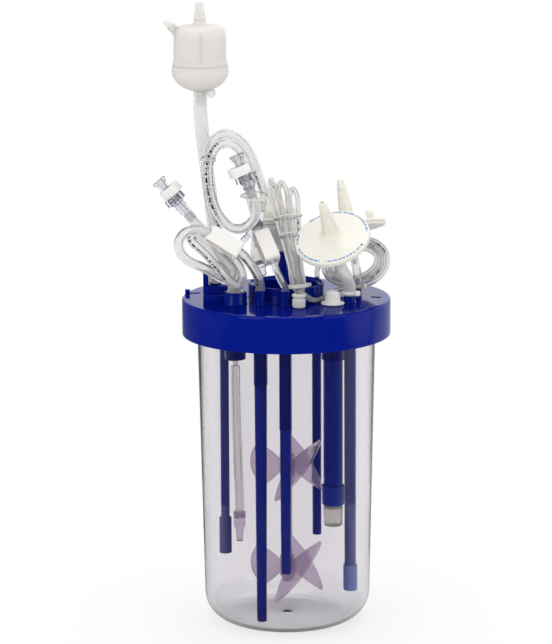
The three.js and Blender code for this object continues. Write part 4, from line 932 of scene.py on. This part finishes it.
# Dip tubes
dipTubes = {
    # name: node, port, radius at the top, radius at the end, height of the end, bore
    "spargeTube": ("sparge_tube", "sparge", 5.1, 4.0, 4.1, 2.4),
    "harvestTube": ("harvest_tube", "harvest", 4.6, 4.0, 47, 2.2),
    "levelTube": ("level_tube", "level", 3.6, 3.6, 66, 2.0),
    "sampleDipTube": ("sample_dip_tube", "sample", 3.95, 3.85, 61, 2.0),
    "overlayTube": ("overlay_tube", "overlay", 4.75, 4.5, 37, 2.6),
}


def makeDipTubes():
    for name, (node, port, topRadius, endRadius, endZ, bore) in dipTubes.items():
        (x, y), (_, low, neck) = ports[port]["at"], ports[port]["socket"]
        top = low - 0.3
        profile = [
            (bore, endZ, 0.3), (endRadius, endZ, 0.4), (topRadius, top, 0.3), (neck, top),
            (neck, top + 11.4, 0.4), (bore, top + 11.7)]
        makePiece(name, turned(profile), "rod", node, at=(x, y, 0))
    for name, node, port, tube, radius, low, high, inside, finish in (
            ("levelTubeTip", "level_tip", "level", 3.6, 5.1, 58, 88, 2.4, "violetSleeve"),
            ("overlayTubeTip", "overlay_tip", "overlay", 4.6, 5.6, 29.4, 51, 3.0, "paleSleeve")):
        x, y = ports[port]["at"]
        profile = [
            (inside, low, 0.3), (radius, low, 0.6), (radius, high, 0.5), (tube + 0.3, high, 0.2),
            (tube + 0.3, low + 7.5), (inside, low + 7.5)]
        makePiece(name, turned(profile), finish, node, at=(x, y, 0))
    x, y = probeAt
    makePiece("probeWell", turned([
        (5.4, 102), (6.85, 102, 0.3), (6.85, 120.7), (7.75, 121.6, 0.3), (7.75, 225.7, 0.4), (7.2, 225.7),
        (7.2, 237.9, 0.4), (5.4, 237.9)], 64), "rod", "probe_well", at=(x, y, 0))
    makePiece("probeWindow", turned([
        (7.15, 105, 0.2), (8.7, 105, 0.4), (9, 106), (9, 121, 0.5),
        (7.15, 121, 0.2)], 64), "sleeve", "probe_window", at=(x, y, 0))
    makePiece("probeCap", turned([
        (0, 87), (6.9, 87, 1), (7.4, 88.4), (7.8, 104.7, 0.4), (7.2, 104.7), (7.2, 101.6),
        (0, 101.6)], 64), "misty", "probe_cap", at=(x, y, 0))


makeDipTubes()

dipHoseRoute = [
    (-41.3, -30, 219.7), (-41.3, -30, 200), (-40.8, -30, 170), (-39.8, -30, 140), (-38.9, -30, 110),
    (-38.7, -30, 93.5)]


def makeRingPort():
    x, y = ringAt
    stopper = [
        (0, 220), (2.2, 220, 0.3), (2.2, 228), (7.0, 228, 0.6), (7.6, 280.2), (7.6, 281.3, 0.6),
        (6.8, 282.8, 0.4), (2.6, 282.8), (2.6, 288.8, 0.4), (1.6, 288.8), (1.6, 284), (0, 284)]
    makePiece("ringStopper", turned(stopper, 64), "milkySilicone", "ring_stopper", at=(x, y, 0))
    makeTube("dipHose", smoothPath(dipHoseRoute, 4), 3.65, 2.2, "silicone", "dip_hose")
    fitting = [
        (0, -20.3), (2.7, -20.3, 0.3), (3.1, -14), (3.5, -9, 0.3), (4.5, -8, 0.4), (4.9, -2), (4.9, 4.2, 0.4),
        (4.3, 4.2, 0.2), (4.3, -0.3), (0, -0.3)]
    makePiece("dipHoseFitting", turned(fitting), "smoke", "dip_hose_fitting", at=(-38.7, -30, 93.5))


makeRingPort()
plug = [
    (0, 262.7), (4.8, 262.7, 0.4), (5.3, lidTop + 0.3), (9.2, lidTop + 0.3, 0.3), (9.7, lidTop + 1, 0.4),
    (9.4, lidTop + 1.9, 0.4), (6.4, lidTop + 2.3, 1.2), (5.95, lidTop + 7.6), (5.5, lidTop + 10.2, 1.8),
    (3, lidTop + 11.6, 1.5), (0, lidTop + 11.7)]
makePiece("portPlug", turned(plug, 64), "white", "port_plug", at=(*probeAt, 0))
print("dip tubes made")


# Disc filters
disc = {"radius": 30.5, "upper": 40, "lower": 30, "rim": 2.5}
frontFilter = {"at": Vector((37.3, -50, 328.3)), "axis": Vector((-0.218, -0.523, 0.827)).normalized()}
backFilter = {"at": Vector((51.4, 4, 328)), "axis": Vector((-0.17, 0.27, 0.948)).normalized()}
towerFilter = {"at": Vector((-1.7, 42, 302)), "axis": Vector((-0.17, -0.05, 0.984)).normalized(), "seam": 29}


def nozzleSteps(low, high, foot, tip, steps):
    spots = []
    for i in range(steps):
        z0, z1 = low + (high - low) * i / steps, low + (high - low) * (i + 1) / steps
        r0, r1 = foot + (tip - foot) * i / steps, foot + (tip - foot) * (i + 1) / steps
        spots += [(r0 + 0.15, z0 + 0.3, 0.25), (r1 - 0.1, z1 - 0.2)]
    return spots


def filterHalf(reach, foot, tip, steps=4):
    bore, rim, outer = min(1.5, tip - 0.8), disc["rim"], disc["radius"]
    profile = [
        (outer, 0.15), (outer, rim - 0.7, 0.5), (outer - 1.2, rim, 0.6), (foot + 3.4, rim + 2.9, 2.5),
        (foot, rim + 6.5, 1.2)]
    profile += nozzleSteps(rim + 7, reach, foot, tip, steps)
    profile += [(bore, reach, 0.2), (bore, 3), (outer - 4, 1.2), (outer - 4, 0.15)]
    return turned(profile, 96)


def makeDiscFilter(name, node, spec, lowerFoot, lowerTip, finish, vented):
    upper = filterHalf(disc["upper"], 6.3, 2.9)
    if vented:
        rim = disc["rim"]
        cap = turned([
            (0, 2), (2.6, 2), (2.6, rim + 5.8, 0.3), (3.4, rim + 6.2, 0.3), (3.4, rim + 9, 0.5),
            (0, rim + 9)], 32)
        slit = block((5.4, 0.8, 0.8), (0, 0, rim + 9.1), 0.2)
        upper = together(upper, moved(together(cap, slit), (disc["radius"] * 0.62, 6, 0)))
    makePiece(name + "Upper", upper, finish, node + "_upper", at=spec["at"], direction=spec["axis"], sharp=40)
    lower = filterHalf(disc["lower"], lowerFoot, lowerTip, 3)
    makePiece(
        name + "Lower", lower, "natural", node + "_lower", at=spec["at"], direction=-spec["axis"], sharp=40)


makeDiscFilter("frontFilter", "front_filter", frontFilter, 4.6, 2.9, "marked", False)
makeDiscFilter("backFilter", "back_filter", backFilter, 3.4, 1.8, "marked", True)


def makeFilterHose(name, node, port, spec, bends, radius, bore, finish):
    x, y = ports[port]["at"]
    foot = lidTop + ports[port]["nipple"][1] + 0.2
    down = -spec["axis"]
    route = [
        (x, y, foot), (x, y, foot + 3), *bends, tuple(spec["at"] + down * (disc["lower"] + 4)),
        tuple(spec["at"] + down * (disc["lower"] - 7))]
    makeTube(name, smoothPath(route), radius, bore, finish, node, sides=28)


makeFilterHose(
    "frontFilterHose", "front_filter_hose", "overlay", frontFilter,
    [(51.3, -24.7, 284.5), (50.2, -25.8, 289), (48.5, -27.7, 293), (46.6, -29.9, 296.7)], 5.1, 3.7,
    "milkySilicone")
makeFilterHose(
    "backFilterHose", "back_filter_hose", "vent", backFilter, [(58.4, -5.1, 288)], 3.5, 2.5, "silicone")


def makeTowerFilter():
    seam = towerFilter["seam"]
    at = towerFilter["at"] + towerFilter["axis"]
    lower = [
        (0, -8), (1.6, -8, 0.3), (3, 0.4), (5.2, 1.2, 0.3), (5.6, 5), (6.4, 7), (14.2, 21, 1.5), (14.8, 26),
        (17, 27, 0.4), (17, seam, 0.2), (12.6, seam), (12.6, 22.5), (5, 8.5), (0, 8.5)]
    upper = [
        (17, seam + 0.3, 0.2), (17, seam + 2.2, 0.5), (14.8, seam + 3), (14.2, seam + 8, 2.5),
        (6, seam + 13.5, 1), (4.8, seam + 15)]
    upper += nozzleSteps(seam + 15.5, seam + 33, 4.6, 2.5, 3)
    upper += [(1.3, seam + 33, 0.2), (1.3, seam + 12), (12.6, seam + 5), (12.6, seam + 0.3)]
    makePiece(
        "towerFilterLower", turned(lower, 72), "natural", "tower_filter_lower", at=at,
        direction=towerFilter["axis"], sharp=40)
    makePiece(
        "towerFilterUpper", turned(upper, 72), "natural", "tower_filter_upper", at=at,
        direction=towerFilter["axis"], sharp=40)


makeTowerFilter()
print("filters made")


# Exhaust hose and capsule
capsuleAt = Vector((-68.6, -5, 442))
exhaustRoute = [
    (-57.5, -12, blockTop + 1.4), (-57.5, -12, blockTop + 14), (-56, -11, 309), (-58.3, -9.5, 333),
    (-62.8, -7.5, 369.5), (-66.7, -6, 402), (-68.5, -5, 425), (-68.6, -5, 441.7)]
makeTube("exhaustHose", smoothPath(exhaustRoute, 3), 5.45, 4.1, "milkySilicone", "exhaust_hose", sides=32)


def makeCapsule():
    bowl = turned([
        (2, -12, 0.2), (3, -12, 0.4), (3.7, -8, 0.2), (3.3, -7.4), (3.3, 0), (5.5, -0.2), (8, 0.6),
        (13.5, 2.9), (18, 6.1), (21, 9.8, 1), (22.6, 13), (22.8, 14.4), (22.8, 20.46, 0.8), (19.8, 20.46),
        (19.8, 14), (12.5, 4.8), (2, 2.4)], 96)
    nub = turned([
        (0, 0), (2.6, 0), (2.6, 2.2, 0.2), (3.8, 2.6, 0.4), (3.8, 5.6, 0.4), (2.4, 6.4), (2.4, 8, 0.3),
        (0, 8)], 32)
    makePiece(
        "capsuleBowl", together(bowl, moved(nub, (8.8, -5, 3.4), (0, 0, -1))), "frosted", "capsule_bowl",
        at=capsuleAt)
    housing = [
        (22.0, 20.5, 0.3), (22.0, 23.2, 0.3), (21.3, 24.2, 0.4), (20.9, 43.5),
        *arcPoints(13.2, 45.3, 7.7, 0, 78, 8), (6.2, 53.8, 1), (5.4, 55.2), (4.4, 57.4), (5.0, 57.9, 0.3),
        (4.3, 61.0), (4.8, 61.6, 0.3), (3.5, 64.6), (3.5, 70.3, 0.6), (1.9, 70.9), (1.8, 51.8), (12, 51.4),
        (19.3, 43.6), (19.8, 20.5)]
    boss = moved(turned([
        (0, -3), (4.4, -3), (4, 4.6), (3.4, 5.2, 0.3), (1.2, 5.2), (1.2, 3),
        (0, 3)], 32), (-16.2, -3, 46.4), (-0.75, -0.12, 0.66))
    seamLine = block((0.9, 0.8, 24), (1.2, -21, 36.5), 0.25)
    makePiece(
        "capsuleHousing", together(turned(housing, 96), boss, seamLine), "frosted", "capsule_housing",
        at=capsuleAt)
    pleats = []
    for i in range(80):
        reach, angle = (18.6, 15.0)[i % 2], 2 * math.pi * i / 80
        pleats.append((reach * math.cos(angle), reach * math.sin(angle)))
    makePiece(
        "capsuleElement", moved(extruded(pleats, 24), (0, 0, 12)), "pleat", "capsule_element",
        at=capsuleAt + Vector((0, 0, 15.5)), sharp=20)
    way = Vector((-0.75, -0.12, 0.66)).normalized()
    screw = turned([
        (0, 0), (3.3, 0, 0.3), (3.6, 1, 0.3), (3.2, 4.4, 0.4), (2.5, 5.2), (2.3, 9.4, 0.8), (1.2, 10.2),
        (0, 10.2)], 32)
    rib = block((0.7, 1.4, 3.4), (3.3, 0, 2.6), 0.2)
    ribs = [moved(rib, spin=k * math.pi / 4) for k in range(8)]
    makePiece(
        "ventScrew", together(screw, *ribs), "frosted", "vent_screw", "vent_valve",
        at=capsuleAt + Vector((-16.2, -3, 46.4)) + way * 5.5, direction=way)


makeCapsule()
print("capsule made")


# Clamps
clamp = {"length": 30, "width": 12.5, "deep": 12, "strip": 2, "play": 0.4, "edge": 0.35}


def clampOutline():
    # A bent spring strip: round at one end, with a catch at the other and two pinching noses in the middle.
    half, d, s = clamp["length"] / 2, clamp["deep"] / 2, clamp["strip"]
    return [
        *arcPoints(-half + 3, -d + 3, 3, 180, 270, 6), *arcPoints(half - d, 0, d, -90, 90, 14),
        (-half + 5, d), (-half + 3.4, d - 2.6), (-half + 5.4, d - 2.6), (-half + 6, d - s), (-1.6, d - s),
        (0, d - s - 1), (1.6, d - s), *arcPoints(half - d, 0, d - s, 90, -90, 12), (1.6, -d + s),
        (0, -d + s + 1), (-1.6, -d + s), (-half + 3.4, -d + s), (-half + 2, -d + s + 1.4),
        (-half + 2, d - 1.6), (-half, d - 0.4)]


def boreThrough(piece, radius, reach=30):
    # Cuts a round hole along the piece's own x through its middle.
    tool = turned([(0, -reach), (radius, -reach), (radius, reach), (0, reach)], 40)
    cutter = newObject("cutter", moved(tool, direction=(1, 0, 0)))
    cutter.matrix_world = piece.matrix_world.copy()
    modifier = piece.modifiers.new("hole", "BOOLEAN")
    modifier.operation, modifier.object, modifier.solver = "DIFFERENCE", cutter, "EXACT"
    bpy.context.view_layer.update()
    applyAll(piece)
    bpy.data.objects.remove(cutter)


def makeClamp(name, node, spec, tubeRadius):
    start, end = Vector(spec["from"]), Vector(spec["to"])
    x = (end - start).normalized()
    back = Vector(spec["back"])
    y = -(back - x * back.dot(x)).normalized()
    turn = Matrix((x, y, x.cross(y))).transposed().to_4x4()
    piece = newObject(name, extruded(clampOutline(), clamp["width"]))
    piece.matrix_world = Matrix.Translation((start + end) / 2 * mm) @ turn
    bpy.context.view_layer.update()
    boreThrough(piece, tubeRadius + clamp["play"])
    return finishPiece(piece, "white", [node], "reactor", 35, clamp["edge"])


feedClampPiece = makeClamp("feedClamp", "feed_clamp", feedClamp, lines["feed"]["radius"])
harvestClampPiece = makeClamp("harvestClamp", "harvest_clamp", harvestClamp, lines["harvest"]["radius"])


# Luer ends
luer = {"neck": 2.7, "collar": 6.6, "long": 7.5, "from": 8.6, "wing": 10.4, "half": 5.6}


def makeLuer(name, node, body, spec):
    way = spec["end"] - spec["tip"]
    length, neck = way.length, luer["neck"]
    ring = luer["from"] + luer["long"] + 0.6
    barrel = turned([
        (1.9, 5), (2.2, 0, 0.2), (6, 0, 0.4), (6, 1.2, 0.3), (4.5, 3.6, 1), (3.9, luer["from"] - 1, 0.4),
        (3.9, luer["from"], 0.2), (neck, luer["from"]), (neck, ring), (5.6, ring, 0.3), (5.6, ring + 7, 0.6),
        (4.6, ring + 8), (4.6, ring + 10), (4.9, ring + 10.4, 0.2), (4.9, ring + 11.6, 0.2), (4.5, ring + 12),
        (4.4, length - 8.4, 0.5), (3.1, length - 7.8), (2.9, length - 4), (3.2, length - 3.4, 0.2),
        (2.6, length, 0.3), (1.7, length), (1.7, 5)])
    lug = block((4.2, 3.6, 6), (6.6, 0, ring + 3.3))
    lugs = [moved(lug, spin=i * math.pi / 2 + 0.4) for i in range(4)]
    threads = [
        turned([(5.4, z), (5.95, z + 0.3), (5.4, z + 0.6)], 40)
        for z in (ring + 1, ring + 2.4, ring + 3.8, ring + 5.2)]
    luerBody = makePiece(
        name + "Body", together(barrel, *lugs, *threads), "tinted", node + "_body", at=spec["tip"],
        direction=way)
    wing, half = luer["wing"], luer["half"]
    outline = [
        *arcPoints(0, 0, luer["collar"], 60, 300, 36), *arcPoints(wing - 1.5, -half + 1.5, 1.5, -90, 0, 5),
        *arcPoints(wing - 1.5, half - 1.5, 1.5, 0, 90, 5)]
    collar = flatRing(outline, arcPoints(0, 0, neck + 0.3, 0, -360, 28)[:-1], luer["long"])
    luerCollar = makePiece(
        name + "Collar", collar, "white", node + "_collar", body,
        at=spec["tip"] + way.normalized() * (luer["from"] + 0.3), direction=way, spin=spec["wing"], sharp=35,
        bevel=0.5)
    return luerBody, luerCollar


feedLuerPieces = makeLuer("feedLuer", "feed_luer", "feed_lock", feedLuer)
loopLuerPieces = makeLuer("loopLuer", "loop_luer", "loop_lock", loopLuer)


# Line manifold, hanging stub and end fitting
def makeManifold():
    at = manifold["at"]
    shapes = []
    for end, radius in (("left", 3.3), ("right", 3.3), ("stub", 3.6), ("drop", 3.4), ("inlet", 2.4)):
        way = manifold[end] - at
        length = way.length
        arm = turned([
            (0, 0), (radius, 0), (radius, length - 7.2, 0.3), (radius - 1.2, length - 6.8),
            (radius - 1.2, length - 4.4), (radius - 0.8, length - 4, 0.2), (radius - 1.3, length, 0.2),
            (0, length)], 32)
        shapes.append(moved(arm, (0, 0, 0), way))
    shapes.append(turned(arcPoints(0, 0, 5.3, -90, 90, 16), 40))
    return makePiece("lineManifold", together(*shapes), "tinted", "line_manifold", at=at)


manifoldPiece = makeManifold()
dropEnd, dropWay = Vector((-22.3, -10, 302.5)), Vector((0.26, 0.25, -0.93))
dropRoute = [
    onward(manifold["drop"], (-0.06, 0, -1), -6), onward(manifold["drop"], (-0.06, 0, -1), 0.5),
    (-24.2, -14.4, 311.5), onward(dropEnd, dropWay, -4), tuple(dropEnd)]
dropHose = makeTube("dropHose", smoothPath(dropRoute), 4.4, 3.4, "silicone", "drop_hose", sides=24)
dropFitting = makePiece("dropFitting", turned([
    (0, 0.3), (5, 0.3, 0.4), (5, 5.4, 0.4), (3.6, 6, 0.2), (3.6, 11.6, 0.3), (2.6, 12.4),
    (0, 12.4)], 40), "tinted", "drop_fitting", at=dropEnd, direction=dropWay)
sampleFitting = makePiece("sampleEndFitting", turned([
    (0, 0.3), (4.4, 0.3, 0.5), (5.3, 1.2, 0.3), (5.4, 6.9, 0.4), (4.5, 7.5, 0.2), (4.5, 8.9, 0.2),
    (5.6, 9.4, 0.3), (5.6, 11.1, 0.4), (4.6, 11.8, 0.2), (2.6, 11.8), (2.6, 8),
    (0, 8)]), "frosted", "sample_end_fitting", at=(10.2, -47, lidTop))
print("clamps and fittings made")


# Cable ties
tie = {"thick": 1.1, "width": 2.6}


def makeTie(name, radius, at, spin, finish, node):
    thick, half = tie["thick"], tie["width"] / 2
    band = turned([
        (radius, -half, 0.2), (radius + thick, -half, 0.3), (radius + thick, half, 0.3),
        (radius, half, 0.2)], 40)
    head = block((3.6, 4.4, 4), (radius + 2.3, 0, 0))
    makePiece(name, together(band, head), finish, node, at=at, spin=spin)


def strapShape(wide, deep, high, headTurn):
    # An oval band that is half wide across x and half deep across y, with its head at an angle.
    band = turned([(1, -high / 2, 0.2), (2, -high / 2, 0.3), (2, high / 2, 0.3), (1, high / 2, 0.2)], 56)
    points = []
    for p in band[0]:
        reach = math.hypot(p.x, p.y)
        grow = (reach - 1) * 0.9
        points.append(Vector((p.x / reach * (wide + grow), p.y / reach * (deep + grow), p.z)))
    turn = math.radians(headTurn)
    head = block((2.6, 3, 2.8), (0, 0, 0), 0.7)
    spot = (math.cos(turn) * (wide + 1.5), math.sin(turn) * (deep + 1.5), 0)
    return together((points, band[1]), moved(head, spot, spin=turn))


straps = {
    # name: middle, along the lines, across them, half width, half depth, band height, angle of the head
    "loopStrapLeft": ((-62.1, -25.6, 390), (0.05, 0, 1), (1, 0, 0), 5.3, 9.0, 1.4, -50),
    "loopStrapRight": ((-24.2, -31, 360.4), (0.05, 0, 1), (1, 0, -0.12), 9.6, 20.2, 1.4, 190),
    "hankStrapTop": ((2.2, -18.6, 341.2), (-0.1, 0.4, 0.9), (1, 0, 0.42), 10.4, 6, 1.5, 160),
    "hankStrapMiddle": ((4.2, -25.1, 327.6), (-0.12, 0.45, 0.88), (1, 0, 0.3), 8.8, 6, 1.5, 160),
    "bundleStrap": ((9.9, -45.2, 289.6), (-0.1, 0.1, 1), (1, 0, 0.08), 7.6, 5.6, 3, 10),
}


def makeStrap(name, at, along, across, wide, deep, high, headTurn):
    z = Vector(along).normalized()
    x = (Vector(across) - z * Vector(across).dot(z)).normalized()
    turn = Matrix((x, z.cross(x), z)).transposed()
    points, faces = strapShape(wide, deep, high, headTurn)
    return makePiece(name, ([turn @ p for p in points], faces), "tie", at=at)


strapPieces = {name: makeStrap(name, *spec) for name, spec in straps.items()}
makeTie("frontHoseTie", 5.4, (51.5, -24.5, lidTop + 8.2), -0.7, "white", "front_hose_tie")
makeTie("backHoseTie", 3.8, (58.5, -5, lidTop + 10.2), -0.6, "tie", "back_hose_tie")
print("straps and ties made")


floorSpec = {
    "colour": "#f7f7f7", "clear": (0.08, 0.3), "nearWhite": 0.75, "throughClear": 0.92, "inShine": 0.85,
    # where the paper starts to be lit and is fully lit in a shine: from front to back, from left to right
    "back": (-0.1, 0.04), "right": (-0.16, 0.02),
}


def makeFloor():
    # Pale matt paper, white by itself away from the object, so that only the shadow shows.
    material, tree = startMaterial("paperSweep")
    paper = addNode(tree, "BsdfPrincipled", {"Roughness": 0.9, "Base Color": toLinear(floorSpec["colour"])})
    seen, mirrored, within = sortRays(tree)
    position = addNode(tree, "NewGeometry").outputs["Position"]
    x, y, _ = addNode(tree, "SeparateXYZ", links={0: position}).outputs
    far = addNode(tree, "VectorMath", {"operation": "LENGTH"}, {0: position}).outputs["Value"]
    fade = addNode(tree, "MapRange", softStep(*floorSpec["clear"], floorSpec["nearWhite"]), {"Value": far})
    through = addNode(tree, "Math", {**times, 1: floorSpec["throughClear"]}, {0: within})
    clear = addNode(tree, "Math", most, {0: fade, 1: through})
    direct = addNode(tree, "Math", times, {0: seen, 1: clear})
    # In a shine on the object the paper in front and at the left is in half light, like the room.
    share = addNode(tree, "Math", {
        "operation": "MULTIPLY_ADD", 1: floorSpec["inShine"]}, {0: mirrored, 2: direct})
    dark, bright, outer = studio["lowReflection"], studio["background"], studio["outerShine"]
    shine = addNode(tree, "MapRange", softStep(*floorSpec["back"], dark, bright), {"Value": y})
    sideways = softStep(*floorSpec["right"], studio["leftReflection"] * outer, outer)
    left = addNode(tree, "MapRange", sideways, {"Value": x})
    dimmed = addNode(tree, "MapRange", links={"Value": within, "To Min": left})
    shown = addNode(tree, "Math", times, {0: shine, 1: dimmed})
    level = addNode(tree, "Mix", {"data_type": "FLOAT", 2: bright}, {0: mirrored, 3: shown})
    glow = addNode(tree, "Emission", {"Color": toLinear(studio["white"])}, {"Strength": level})
    mixed = addNode(tree, "MixShader", links={0: share, 1: paper, 2: glow})
    addNode(tree, "OutputMaterial", links={"Surface": mixed})
    edge = floorSpec["clear"][1] / mm + 20
    floor = newObject("floor", turned([(0, -0.6), (edge, -0.6), (edge, -0.3), (0, -0.3)], 96))
    floor.data.materials.append(material)


makeFloor()
